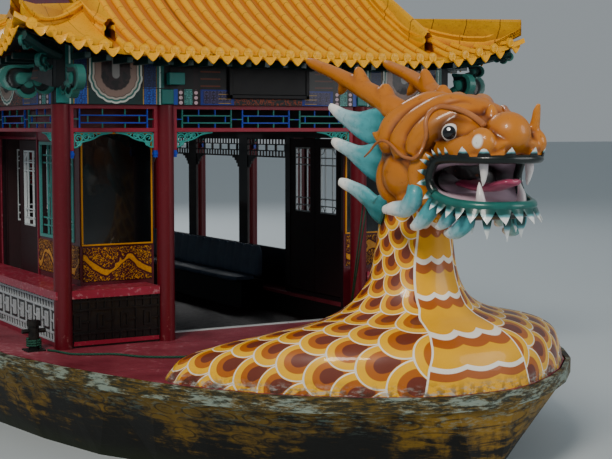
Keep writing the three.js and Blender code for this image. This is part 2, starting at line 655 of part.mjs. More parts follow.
// Saloon side: low wall, window openings between the pillars, and a band above them.
function saloonWall() {
  const outer = PILLAR_Y - PILLAR_RADIUS - FIT;
  const y = [outer - 40, outer];
  const wall = block([-CABIN_LENGTH + PAVILION_DEPTH + 62, -PAVILION_DEPTH - 62], y, [FIT, BEAM_UNDERSIDE]);
  const windows = Array.from({ length: SALOON_BAYS }, (_, i) => {
    const fore = -PAVILION_DEPTH - i * BAY - SIDE_WINDOW.jamb;
    const aft = fore - BAY + 2 * SIDE_WINDOW.jamb;
    return block([aft, fore], [outer - 200, outer + 200], [SIDE_WINDOW.sill, SIDE_WINDOW.head]);
  });
  return cut(wall, ...windows);
}

const FRONT_WINDOW = { y: [1220, 1800], z: [980, 1860] };
const PORCH_WINDOW = { x: [-1440, -480], z: [1000, 1950] };

// Inner wall of a pavilion's port side: a front panel with a window, a side panel with a window,
// the doorway, and a return to the colonnade.
function porchWall() {
  const z = [FIT, BEAM_UNDERSIDE];
  const front = block([FRONT_WALL_X - WALL_HALF, FRONT_WALL_X + WALL_HALF], [PORTAL_PILLAR_Y, WALL_Y + WALL_HALF], z);
  const side = block([-PAVILION_DEPTH - 60, FRONT_WALL_X + WALL_HALF], [WALL_Y - WALL_HALF, WALL_Y + WALL_HALF], z);
  const back = block([-PAVILION_DEPTH - 60, -PAVILION_DEPTH], [WALL_Y, PILLAR_Y - PILLAR_RADIUS - FIT], z);
  const through = [WALL_Y - 200, WALL_Y + 200];
  const doorway = block([DOORWAY.aft, DOORWAY.fore], through, [DOORWAY.sill, DOORWAY.head]);
  const frontWindow = block([FRONT_WALL_X - 200, FRONT_WALL_X + 200], FRONT_WINDOW.y, FRONT_WINDOW.z);
  const sideWindow = block(PORCH_WINDOW.x, through, PORCH_WINDOW.z);
  return cut(join(front, side, back), doorway, frontWindow, sideWindow);
}

function windowPane() {
  const [y0, y1] = FRONT_WINDOW.y;
  const [z0, z1] = FRONT_WINDOW.z;
  return block([FRONT_WALL_X - 5, FRONT_WALL_X + 5], [y0 + FIT, y1 - FIT], [z0 + FIT, z1 - FIT]);
}

// Bench round a pavilion's port corner, with an apron under its edge.
function bench() {
  const z = [BENCH_TOP - BENCH_SLAB, BENCH_TOP];
  const wallFace = WALL_Y + WALL_HALF + FIT;
  const frontFace = FRONT_WALL_X + WALL_HALF + FIT;
  const inboard = PORTAL_PILLAR_Y + PILLAR_RADIUS + FIT;
  const seats = [
    block([-PAVILION_DEPTH + FIT, 50], [wallFace, PILLAR_Y + 90], z),
    block([frontFace, 50], [inboard, PILLAR_Y + 90], z),
  ];
  const aprons = [
    block([-PAVILION_DEPTH + FIT, 0], [PILLAR_Y - 30, PILLAR_Y + 30], [FIT, z[0]]),
    block([-30, 30], [inboard, PILLAR_Y], [FIT, z[0]]),
  ];
  const pillars = [0, -PAVILION_DEPTH].map((x) => post(x, PILLAR_Y, PILLAR_RADIUS + FIT, -10, BEAM_UNDERSIDE));
  return cut(join(...seats, ...aprons), ...pillars);
}

const LEAF_WIDTH = (DOORWAY.fore - DOORWAY.aft - 2 * LEAF_SIDE_GAP - LEAF_MEETING_GAP) / 2;
const HINGE_ROD_RADIUS = LEAF_SIDE_GAP - FIT;
const LEAF_WINDOW = { margin: 110, sill: 1060, head: 1880 };

// A door leaf standing along +X from its hinge rod, its inner face on y = 0.
function doorLeaf() {
  const board = block([0, LEAF_WIDTH], [0, LEAF_THICKNESS], [DOORWAY.sill + 10, DOORWAY.head - 10]);
  const rod = post(0, 0, HINGE_ROD_RADIUS, DOORWAY.sill + FIT, DOORWAY.head - FIT, 8);
  return cut(join(board, rod), block([LEAF_WINDOW.margin, LEAF_WIDTH - LEAF_WINDOW.margin], [-100, 100],
    [LEAF_WINDOW.sill, LEAF_WINDOW.head]));
}

const SEAT_ROW = { from: -3400, to: -CABIN_LENGTH + 3400, back: 1795 };

// Seats along the saloon's port side, as one row: base, seat and back.
function seatRow() {
  const { back } = SEAT_ROW;
  const floor = -FLOOR_DROP + FIT;
  const profile = [
    [back - 330, floor], [back, floor], [back, floor + 830], [back - 60, floor + 830],
    [back - 100, floor + 440], [back - 470, floor + 440], [back - 470, floor + 370], [back - 330, floor + 370],
  ];
  return rail(profile, SEAT_ROW.to, SEAT_ROW.from);
}

// Roofs

// Upper surface of a pavilion roof over the middle of the pavilion, at x, y.
function roofHeight(x, y) {
  const fromEnd = ROOF_HALF_DEPTH - Math.abs(x);
  const fromSide = ROOF_HALF_WIDTH - Math.abs(y);
  const base = Math.abs(y) > GABLE_Y ? Math.min(slope(fromEnd), slope(fromSide)) : slope(fromEnd);
  return EAVE_HEIGHT + base + cornerShare(x, y) * CORNER_LIFT;
}

function cornerShare(x, y) {
  const alongX = Math.abs(x) / ROOF_HALF_DEPTH;
  const alongY = Math.abs(y) / ROOF_HALF_WIDTH;
  return Math.pow(alongX, 4) * Math.pow(alongY, 6);
}

// A shell of one thickness over a grid of stations.
function roofShell(stationsX, stationsY) {
  const nx = stationsX.length;
  const ny = stationsY.length;
  const points = [];
  for (const lower of [0, ROOF_THICKNESS]) {
    for (const x of stationsX) {
      for (const y of stationsY) {
        const out = cornerShare(x, y) * CORNER_REACH;
        points.push(x + Math.sign(x) * out, y + Math.sign(y) * out, roofHeight(x, y) - lower);
      }
    }
  }
  const at = (i, j, lower) => lower * nx * ny + i * ny + j;
  const faces = [];
  const quad = (a, b, c, d) => faces.push(a, b, c, a, c, d);
  for (let i = 0; i + 1 < nx; i += 1) {
    for (let j = 0; j + 1 < ny; j += 1) {
      quad(at(i, j, 0), at(i + 1, j, 0), at(i + 1, j + 1, 0), at(i, j + 1, 0));
      quad(at(i, j, 1), at(i, j + 1, 1), at(i + 1, j + 1, 1), at(i + 1, j, 1));
    }
    quad(at(i, 0, 0), at(i, 0, 1), at(i + 1, 0, 1), at(i + 1, 0, 0));
    quad(at(i, ny - 1, 0), at(i + 1, ny - 1, 0), at(i + 1, ny - 1, 1), at(i, ny - 1, 1));
  }
  for (let j = 0; j + 1 < ny; j += 1) {
    quad(at(0, j, 0), at(0, j + 1, 0), at(0, j + 1, 1), at(0, j, 1));
    quad(at(nx - 1, j, 0), at(nx - 1, j, 1), at(nx - 1, j + 1, 1), at(nx - 1, j + 1, 0));
  }
  const geometry = new THREE.BufferGeometry();
  geometry.setAttribute("position", new THREE.Float32BufferAttribute(points, 3));
  geometry.setIndex(faces);
  return toSolid(geometry);
}

const RIDGE = { half: 90, height: 260 };

function spread(from, to, count) {
  return Array.from({ length: count + 1 }, (_, i) => THREE.MathUtils.lerp(from, to, i / count));
}

// Bar along a line on the roof, following its surface. Columns of the line: x, y.
function hipRidge(line, half, height, tipLift) {
  const rings = line.map(([x, y], i) => {
    const out = cornerShare(x, y) * CORNER_REACH;
    const [ax, ay] = line[Math.max(i - 1, 0)];
    const [bx, by] = line[Math.min(i + 1, line.length - 1)];
    const length = Math.hypot(bx - ax, by - ay);
    const across = [(-(by - ay) / length) * half, ((bx - ax) / length) * half];
    const cx = x + Math.sign(x) * out;
    const cy = y + Math.sign(y) * out;
    const foot = roofHeight(x, y) - ROOF_THICKNESS / 2;
    const top = roofHeight(x, y) + height + (i === line.length - 1 ? tipLift : 0);
    return [
      [cx - across[0], cy - across[1], foot], [cx + across[0], cy + across[1], foot],
      [cx + across[0], cy + across[1], top], [cx - across[0], cy - across[1], top],
    ];
  });
  return skin(rings);
}

// Hip-and-gable roof over a pavilion whose middle is x = 0: shell, gables, hanging and corner ridges.
function pavilionRoof() {
  const depth = [-1, -0.85, -0.6, -0.3, -0.05, 0.05, 0.3, 0.6, 0.85, 1].map((s) => s * ROOF_HALF_DEPTH);
  const middle = roofShell(depth, spread(-GABLE_Y, GABLE_Y, 4));
  const skirtY = spread(GABLE_Y + 1, ROOF_HALF_WIDTH, 4);
  const skirt = roofShell(depth, skirtY);
  const reachIn = ROOF_HALF_DEPTH - 140;
  const foot = EAVE_HEIGHT + slope(ROOF_HALF_WIDTH - GABLE_Y) - ROOF_THICKNESS;
  const line = spread(-reachIn, reachIn, 8);
  const under = line.map((x) => [x, Math.max(roofHeight(x, GABLE_Y - 10) - 20, foot)]);
  const gable = plate([[-reachIn, foot - 1], [reachIn, foot - 1], ...under.reverse()], GABLE_Y - 60, GABLE_Y + 20);
  const hanging = hipRidge(spread(0, ROOF_HALF_DEPTH - 200, 6).map((x) => [x, GABLE_Y - 55]), 55, 130, 60);
  const hipFrom = ROOF_HALF_DEPTH - (ROOF_HALF_WIDTH - GABLE_Y) + 20;
  const corner = hipRidge(spread(0, 1, 5).map((t) => [
    THREE.MathUtils.lerp(hipFrom, ROOF_HALF_DEPTH - 15, t),
    THREE.MathUtils.lerp(GABLE_Y + 20, ROOF_HALF_WIDTH - 15, t),
  ]), 50, 110, 90);
  const quarter = join(hanging, corner);
  const half = join(skirt, gable, quarter, quarter.mirror([1, 0, 0]));
  return join(middle, half, mirrored(half));
}

// Main ridge along a pavilion roof's crest, with raised ends.
function mainRidge() {
  const crest = EAVE_HEIGHT + slope(ROOF_HALF_DEPTH * 0.95) + FIT;
  const reach = GABLE_Y - 130;
  const outline = [
    [-reach, crest], [reach, crest], [reach, crest + RIDGE.height + 190], [reach - 150, crest + RIDGE.height + 60],
    [reach - 330, crest + RIDGE.height], [-reach + 330, crest + RIDGE.height],
    [-reach + 150, crest + RIDGE.height + 60], [-reach, crest + RIDGE.height + 190],
  ];
  return rail(outline, -RIDGE.half, RIDGE.half);
}

const SALOON_ROOF = { eaveY: 2640, crown: 160, thickness: 80 };

// Low curved roof over the saloon, between the two pavilions.
function saloonRoof() {
  const { eaveY, crown, thickness } = SALOON_ROOF;
  const seatY = PILLAR_Y + BEAM_HALF;
  const bulge = crown / (seatY * seatY);
  const under = spread(-eaveY, eaveY, 12).map((y) => [y, SALOON_BEAM_TOP + FIT + crown - bulge * y * y + 6]);
  const over = under.map(([y, z]) => [y, z + thickness]).reverse();
  const inset = PAVILION_DEPTH + BEAM_HALF + FIT;
  return rail([...under, ...over], -CABIN_LENGTH + inset, -inset);
}

const PLAQUE = { y: 470, z: [2420, 2800], thickness: 40 };

// Blank name board on the front beam.
function plaque() {
  const x = BEAM_HALF + FIT;
  return block([x, x + PLAQUE.thickness], [-PLAQUE.y, PLAQUE.y], PLAQUE.z);
}

// Deck fittings. Columns: x, y.
const BOLLARDS = { fore: [-50, 2500], aft: [-16600, 1900] };

function bollard(x, y) {
  const base = block([x - 90, x + 90], [y - 90, y + 90], [FIT, 14]);
  const stem = post(x, y, 52, 10, 280);
  const cap = post(x, y, 66, 240, 290);
  const bar = new THREE.CylinderGeometry(22, 22, 230, 8);
  bar.translate(x, y, 190);
  return join(base, stem, cap, toSolid(bar));
}

const ROPE_RADIUS = 11;
const ROPE_Z = ROPE_RADIUS + FIT;
// Route of the loose mooring rope along the foredeck, from the starboard bollard.
const ROPE_ROUTE = [
  [60, -2400, ROPE_Z], [160, -2350, ROPE_Z], [380, -2280, ROPE_Z], [480, -2140, ROPE_Z],
  [590, -1930, ROPE_Z], [830, -1780, ROPE_Z], [1000, -1550, ROPE_Z], [1070, -1330, ROPE_Z],
  [1010, -1200, ROPE_Z], [1120, -1110, ROPE_Z],
];

function deckRope() {
  return cordTube(ROPE_ROUTE, ROPE_RADIUS, 8, 36);
}

// Assembly

const boat = new THREE.Group();
boat.position.set(FRONT_PILLARS_X, 0, DECK_HEIGHT);

function add(name, solid, colour, parent = boat) {
  const [hex, roughness, metalness] = COLOURS[colour];
  const material = new THREE.MeshStandardMaterial({ color: hex, roughness, metalness });
  const mesh = new THREE.Mesh(toGeometry(solid), material);
  mesh.name = name;
  parent.add(mesh);
  return mesh;
}

function addPair(name, portSolid, colour) {
  add(`${name}_port`, portSolid, colour);
  add(`${name}_starboard`, mirrored(portSolid), colour);
}

add("hull", hull(), "hullPaint");
add("deck", deck(), "deckPaint");
add("cabin_floor", cabinFloor(), "deckPaint");
add("strake", strake(), "strakeGrey");
add("skeg", skeg(), "hullPaint");
add("propeller", propeller(), "bronze");
add("rudder", rudder(), "steel");
add("engine_block", engineBlock(), "steel");
add("hatch_coaming", hatchCoaming(), "deckPaint");
add("engine_hatch", engineHatch(), "deckPaint");

add("dragon_body", dragonBody(), "scaleYellow");
add("dragon_head", dragonHead(), "dragonOrange");
add("tongue", tongue(), "tongueRed");
add("beard", beard(), "teal");
addPair("horn", mirrored(horn()), "dragonOrange");
addPair("mane", mirrored(mane()), "teal");
addPair("whisker", mirrored(whisker()), "dragonOrange");
addPair("eye", eye(1, 0), "eyeWhite");
add("dragon_tail", dragonTail(), "scaleYellow");
add("tail_fin", tailFin(), "teal");

addPair("colonnade", colonnade(), "pillarRed");
add("portal_fore", portal(0), "pillarRed");
add("portal_aft", portal(-CABIN_LENGTH), "pillarRed");
add("inner_beam_fore", innerBeam(-PAVILION_DEPTH), "pillarRed");
add("inner_beam_aft", innerBeam(-CABIN_LENGTH + PAVILION_DEPTH), "pillarRed");
addPair("saloon_wall", saloonWall(), "panelMaroon");

const towardsStern = (solid) => solid.mirror([1, 0, 0]).translate([-CABIN_LENGTH, 0, 0]);
for (const [end, place] of [["fore", (solid) => solid], ["aft", towardsStern]]) {
  addPair(`porch_wall_${end}`, place(porchWall()), "panelMaroon");
  addPair(`bench_${end}`, place(bench()), "railRed");
}
addPair("window_pane", windowPane(), "darkGlass");
addPair("seat_row", seatRow(), "seatBlue");

// Door leaves of the front pavilion. Columns: name, side, hinge edge, opened at rest.
const LEAVES = [
  ["leaf_port_fore", 1, "fore", false],
  ["leaf_port_aft", 1, "aft", false],
  ["leaf_starboard_fore", -1, "fore", false],
  ["leaf_starboard_aft", -1, "aft", true],
];
for (const [name, side, edge, opened] of LEAVES) {
  const towardsBow = edge === "aft" ? 1 : -1;
  const hinge = new THREE.Group();
  hinge.position.set(DOORWAY[edge] + towardsBow * LEAF_SIDE_GAP, side * (WALL_Y - LEAF_THICKNESS / 2), 0);
  hinge.rotation.z = opened ? (side * towardsBow * -Math.PI) / 2 : 0;
  let leaf = doorLeaf();
  leaf = towardsBow < 0 ? leaf.mirror([1, 0, 0]) : leaf;
  leaf = side < 0 ? mirrored(leaf) : leaf;
  add(name, leaf, "panelMaroon", hinge);
  boat.add(hinge);
}

for (const [end, x] of Object.entries(ROOF_MIDDLE)) {
  add(`roof_${end}`, pavilionRoof().translate([x, 0, 0]), "glazedYellow");
  add(`ridge_${end}`, mainRidge().translate([x, 0, 0]), "glazedYellow");
}
add("roof_saloon", saloonRoof(), "glazedYellow");
add("plaque", plaque(), "blackIron");

addPair("bollard_fore", bollard(...BOLLARDS.fore), "blackIron");
addPair("bollard_aft", bollard(...BOLLARDS.aft), "blackIron");
add("deck_rope", deckRope(), "ropeGreen");

export default boat;
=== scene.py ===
# %% [markdown]
# # A lake passenger boat with a dragon's head and tail
#
# The steel-and-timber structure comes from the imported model. This script dresses it: the dragon
# gets its carved head and painted scales, the pavilions get tiled roofs, lattices and painted
# beams, and every surface that shows gets a finish of its own. Each step below first says what
# the piece is and how it could be made, then makes it.

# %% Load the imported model
import json
import math

import bpy
import numpy as np
from mathutils import Matrix, Vector

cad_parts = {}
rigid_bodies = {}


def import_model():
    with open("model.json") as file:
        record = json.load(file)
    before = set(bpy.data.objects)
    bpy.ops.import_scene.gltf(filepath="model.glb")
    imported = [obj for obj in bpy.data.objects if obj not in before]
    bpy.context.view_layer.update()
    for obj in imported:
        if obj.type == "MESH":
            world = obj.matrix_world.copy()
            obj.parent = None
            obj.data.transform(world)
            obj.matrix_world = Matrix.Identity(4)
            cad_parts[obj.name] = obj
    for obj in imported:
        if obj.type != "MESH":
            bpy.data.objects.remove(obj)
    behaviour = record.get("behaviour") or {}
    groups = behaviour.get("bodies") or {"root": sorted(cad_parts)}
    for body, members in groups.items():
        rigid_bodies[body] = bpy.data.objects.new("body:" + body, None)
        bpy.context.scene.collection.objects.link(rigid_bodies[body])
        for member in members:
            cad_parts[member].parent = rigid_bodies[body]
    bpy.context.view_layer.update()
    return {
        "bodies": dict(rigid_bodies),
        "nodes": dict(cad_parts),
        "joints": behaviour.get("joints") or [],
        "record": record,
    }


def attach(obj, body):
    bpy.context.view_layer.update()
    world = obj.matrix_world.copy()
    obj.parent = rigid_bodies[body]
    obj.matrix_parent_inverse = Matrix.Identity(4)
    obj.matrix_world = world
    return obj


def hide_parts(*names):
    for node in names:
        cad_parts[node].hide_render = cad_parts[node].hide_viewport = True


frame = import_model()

nodes = frame["nodes"]
print("nodes loaded:", len(nodes))

# %% [markdown]
# ## Where things are
#
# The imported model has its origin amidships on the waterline. A boat builder measures the
# superstructure from the front pillars, on the centreline, at deck level, so every piece here is
# modelled from that datum and moved into place when it is finished.

# %% The datum and the main sizes
DATUM = Vector((7.0, 0.0, 0.85))
CABIN = 14.14
PAVILION = 2.87
BAY = 1.68
PILLAR_Y = 2.22
PORTAL_Y = 1.14
PILLAR_R = 0.088
BEAM_UNDER = 2.35
print("water is", DATUM.z, "m below the deck")

# %% [markdown]
# ## The camera
#
# The photograph was taken with a moderate long lens from beside the bow, a little above the deck.
# The camera stands there and looks along the same line. It comes first, because everything else
# is judged through it.

# %% The camera
YAW, PITCH = 0.52587, 0.076749
SIGHT = Vector((-math.cos(YAW) * math.cos(PITCH), math.sin(YAW) * math.cos(PITCH),
                -math.sin(PITCH)))
lens = bpy.data.cameras.new("camera")
lens.lens = 77.7
lens.sensor_width = 36.0
lens.clip_end = 400.0
camera = bpy.data.objects.new("camera", lens)
camera.location = DATUM + Vector((12.088, -6.533, 2.125))
camera.rotation_euler = SIGHT.to_track_quat("-Z", "Y").to_euler()
bpy.context.scene.collection.objects.link(camera)
bpy.context.scene.camera = camera
print("camera at", tuple(round(c, 3) for c in camera.location))

# %% [markdown]
# ## Small helpers for modelling
#
# Blender's operators act on whatever is selected, so each helper starts by deselecting. A primitive
# lands selected and active, and `named` gives it its name. `settle` is the last step for every
# piece: it applies the modifiers, moves the mesh from the datum to the model's origin and tells the
# frame which body carries it.

# %% Helpers for modelling
TO_PORT = Matrix.Diagonal((1, -1, 1, 1))
SIDES = ((1, "starboard"), (-1, "port"))


def between(a, b, t):
    return a + (b - a) * t


def deselect():
    if bpy.context.object and bpy.context.object.mode != "OBJECT":
        bpy.ops.object.mode_set(mode="OBJECT")
    bpy.ops.object.select_all(action="DESELECT")


def named(name):
    piece = bpy.context.object
    piece.name = name
    piece.data.name = name
    return piece


def pick(*pieces):
    deselect()
    for piece in pieces:
        piece.select_set(True)
    bpy.context.view_layer.objects.active = pieces[0]
    return pieces[0]


def apply_modifiers(piece):
    pick(piece)
    for modifier in list(piece.modifiers):
        bpy.ops.object.modifier_apply(modifier=modifier.name)


def modify(piece, kind, **settings):
    modifier = piece.modifiers.new(kind.lower(), kind)
    for key, value in settings.items():
        setattr(modifier, key, value)


def joined(name, pieces):
    pick(*pieces)
    if len(pieces) > 1:
        bpy.ops.object.join()
    return named(name)


def clean(piece, gap=1e-4, closed=False):
    """Merges doubled points, closes open ends if asked to, and turns all faces outwards."""
    pick(piece)
    bpy.ops.object.mode_set(mode="EDIT")
    bpy.ops.mesh.select_all(action="SELECT")
    if gap:
        bpy.ops.mesh.remove_doubles(threshold=gap)
    if closed:
        bpy.ops.mesh.select_all(action="DESELECT")
        bpy.ops.mesh.select_non_manifold()
        bpy.ops.mesh.edge_face_add()
        bpy.ops.mesh.select_all(action="SELECT")
    bpy.ops.mesh.normals_make_consistent(inside=False)
    bpy.ops.object.mode_set(mode="OBJECT")
    return piece


def smooth(piece, angle=None):
    pick(piece)
    if angle is None:
        bpy.ops.object.shade_smooth()
    else:
        bpy.ops.object.shade_smooth_by_angle(angle=math.radians(angle))
    return piece


def placed(at, angle=0.0, scale=(1, 1, 1)):
    """The matrix of a piece that is scaled, turned about the upright and moved to a place."""
    return Matrix.Translation(at) @ Matrix.Rotation(angle, 4, "Z") @ Matrix.Diagonal((*scale, 1))


def twin(piece, place):
    """A copy with its own mesh, placed by a matrix. A mirrored one is turned the right way out."""
    other = piece.copy()
    other.data = piece.data.copy()
    other.data.transform(place)
    if place.determinant() < 0:
        other.data.flip_normals()
    bpy.context.scene.collection.objects.link(other)
    return other


def copies(name, model, places):
    """Copies of one modelled piece, each placed by a matrix, joined as one piece."""
    pieces = [twin(model, place) for place in places]
    bpy.data.objects.remove(model)
    return joined(name, pieces)


def settle(piece, finish, body="boat", replaces=()):
    apply_modifiers(piece)
    piece.data.transform(Matrix.Translation(DATUM) @ piece.matrix_world)
    piece.matrix_world = Matrix.Identity(4)
    piece.data.materials.clear()
    piece.data.materials.append(finish)
    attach(piece, body)
    if replaces:
        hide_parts(*replaces)
    print(piece.name, len(piece.data.polygons), "faces")
    return piece


# %% Helpers that shape: a grid, a tube and a timber
def surface(name, across, along, place):
    """A grid primitive whose points go where place(u, v) says. Its own UV map runs from 0 to 1."""
    deselect()
    bpy.ops.mesh.primitive_grid_add(x_subdivisions=across, y_subdivisions=along, size=1)
    piece = named(name)
    for vertex in piece.data.vertices:
        vertex.co = place(vertex.co.x + 0.5, vertex.co.y + 0.5)
    return piece


def tube(name, points, radii, sides=10, steps=8):
    """A round rod on a smooth curve through points, with a radius at each."""
    curve = bpy.data.curves.new(name, "CURVE")
    curve.dimensions = "3D"
    curve.bevel_depth = 1.0
    curve.bevel_resolution = max(0, sides // 2 - 2)
    curve.use_fill_caps = True
    curve.resolution_u = steps
    spline = curve.splines.new("BEZIER")
    spline.bezier_points.add(len(points) - 1)
    for knot, point, radius in zip(spline.bezier_points, points, radii):
        knot.co = point
        knot.handle_left_type = knot.handle_right_type = "AUTO"
        knot.radius = radius
    piece = bpy.data.objects.new(name, curve)
    bpy.context.scene.collection.objects.link(piece)
    pick(piece)
    bpy.ops.object.convert(target="MESH")
    return clean(named(name))


def rod(name, rows, sides=10, steps=8):
    """A tube from a table. Columns: x, y, z, radius."""
    return tube(name, [row[:3] for row in rows], [row[3] for row in rows], sides, steps)


def timbers(name, boxes, bevel=0.004):
    """Square timbers given by opposite corners, with their edges eased."""
    deselect()
    bpy.ops.mesh.primitive_cube_add(size=1)
    cube = named(name)
    places = []
    for low, high in boxes:
        low, high = Vector(low), Vector(high)
        size = Matrix.Diagonal((*[max(abs(c), 1e-3) for c in high - low], 1.0))
        places.append(Matrix.Translation((low + high) / 2) @ size)
    piece = copies(name, cube, places)
    if bevel:
        modify(piece, "BEVEL", width=bevel, segments=1, limit_method="ANGLE")
        apply_modifiers(piece)
    return smooth(piece, 35)


def curve_at(a, b, c, d, s):
    """A point on the smooth curve from b (s = 0) to c (s = 1) whose neighbours are a and d."""
    return 0.5 * (2 * b + (c - a) * s + (2 * a - 5 * b + 4 * c - d) * s ** 2
                  + (3 * b - a - 3 * c + d) * s ** 3)


def blend_rows(rows, t):
    """A smooth curve through the rows of a table, at t from 0 to 1."""
    last = len(rows) - 1
    place = min(max(t, 0.0), 1.0) * last
    i = min(int(place), last - 1)
    return curve_at(*[np.array(rows[min(max(k, 0), last)], float) for k in range(i - 1, i + 3)],
                    place - i)


def on_line(points, t):
    """A point on a line of straight stretches, t from 0 to 1, and the stretch that it lies on."""
    step = t * (len(points) - 1)
    i = min(int(step), len(points) - 2)
    return points[i].lerp(points[i + 1], step - i), i


def limb(name, rows, across=16, along=24, section=None):
    """A closed form along a smooth line. Columns of rows: x, y, z of the middle, width, height."""
    def place(u, v):
        row = blend_rows(rows, v)
        ahead = Vector((blend_rows(rows, v + 0.01) - blend_rows(rows, v - 0.01))[:3]).normalized()
        side = Vector((-ahead.y, ahead.x, 0.0))
        side = side.normalized() if side.length > 0.02 else Vector((0, 1, 0))
        if side.y < 0:
            side = -side
        rise = ahead.cross(side).normalized()
        angle = 2 * math.pi * u
        out, up = (math.cos(angle), math.sin(angle)) if section is None else section(u)
        return Vector(row[:3]) + side * (out * row[3] / 2) + rise * (up * row[4] / 2)
    return smooth(clean(surface(name, across, along, place), closed=True))


def ball(name, at, radii, turn=(0, 0, 0), segments=24, rings=14):
    """A sphere stretched to three radii and turned by three angles in degrees."""
    deselect()
    bpy.ops.mesh.primitive_uv_sphere_add(segments=segments, ring_count=rings, location=at,
                                         rotation=[math.radians(a) for a in turn], scale=radii)
    bpy.ops.object.transform_apply()
    return named(name)


def both_sides(pieces):
    """Adds the port twin of starboard pieces."""
    return [*pieces, *[twin(piece, TO_PORT) for piece in pieces]]


def knead(name, pieces, voxel, rounds):
    """Joins overlapping forms into one skin, as clay is pressed together, then smooths it."""
    piece = joined(name, pieces)
    modify(piece, "REMESH", mode="VOXEL", voxel_size=voxel)
    modify(piece, "SMOOTH", factor=0.5, iterations=rounds)
    apply_modifiers(piece)
    return smooth(piece)


# %% Helpers that measure a piece's points and store what a finish reads
def paint_on(piece, name, values):
    """Stores one number for each point of a piece, for its finish to read."""
    layer = piece.data.attributes.new(name, "FLOAT", "POINT")
    layer.data.foreach_set("value", np.asarray(values, dtype=np.float32))


def ramp(values, start, over):
    """0 up to a start and 1 from a distance past it. A distance below 0 turns that round."""
    return np.clip((values - start) / over, 0, 1)


def points_of(piece):
    return np.array([vertex.co[:] for vertex in piece.data.vertices])


def hollows(piece, rounds=24):
    """Stores how far each point lies in a hollow (above 0) or on a swell (below 0), in metres."""
    mesh = piece.data
    count = len(mesh.vertices)
    points = np.empty(count * 3)
    mesh.vertices.foreach_get("co", points)
    points = points.reshape(-1, 3)
    normals = np.empty(count * 3)
    mesh.vertices.foreach_get("normal", normals)
    edges = np.empty(len(mesh.edges) * 2, dtype=np.int64)
    mesh.edges.foreach_get("vertices", edges)
    a, b = edges.reshape(-1, 2).T
    degree = np.bincount(a, minlength=count) + np.bincount(b, minlength=count)
    eased = points.copy()
    for _ in range(rounds):
        total = np.zeros_like(eased)
        for axis in range(3):
            total[:, axis] = (np.bincount(a, eased[b, axis], count)
                              + np.bincount(b, eased[a, axis], count))
        eased = total / degree[:, None]
    depth = ((eased - points) * normals.reshape(-1, 3)).sum(axis=1)
    paint_on(piece, "hollow", depth)
    return points

# %% [markdown]
# ## Small helpers for finishes
#
# A finish is a graph of nodes. Written by hand, a formula such as `1 - mask * depth` takes a dozen
# lines of nodes and links. A `Wire` wraps one output socket and overloads the arithmetic signs, so
# the formula can be written as it reads, and every sign adds its Math node. `Finish` holds the
# material, and its `node` method adds any other node: its settings first, then its inputs.

# %% Helpers for finishes
class Wire:
    """One output of a node. Arithmetic on it adds Math nodes."""

    def __init__(self, finish, socket):
        self.finish = finish
        self.socket = socket

    def math(self, operation, *values, clamp=False):
        settings = {"operation": operation, "use_clamp": clamp}
        return self.finish.node("ShaderNodeMath", settings, dict(enumerate(values)))

    def past(self, edge, blur):
        """0 below the edge and 1 above it, with a soft step between."""
        return self.math("MULTIPLY_ADD", self, 1 / blur, 0.5 - edge / blur, clamp=True)

    def within(self, low, high, blur):
        return self.past(low, blur) * (1 - self.past(high, blur))


SIGNS = {"add": "ADD", "sub": "SUBTRACT", "mul": "MULTIPLY", "truediv": "DIVIDE", "pow": "POWER"}
WORDS = {"floor": "FLOOR", "part": "FRACT", "size": "ABSOLUTE", "sine": "SINE", "root": "SQRT",
         "lower": "MINIMUM", "higher": "MAXIMUM"}
for sign, operation in SIGNS.items():
    setattr(Wire, f"__{sign}__", lambda self, other, op=operation: self.math(op, self, other))
    setattr(Wire, f"__r{sign}__", lambda self, other, op=operation: self.math(op, other, self))
for word, operation in WORDS.items():
    setattr(Wire, word, lambda self, *others, op=operation: self.math(op, self, *others))


def rgb(code):
    """Scene-linear colour of a screen colour such as "c87820"."""
    parts = [int(code[i:i + 2], 16) / 255 for i in (0, 2, 4)]
    return (*[c / 12.92 if c <= 0.04045 else ((c + 0.055) / 1.055) ** 2.4 for c in parts], 1.0)


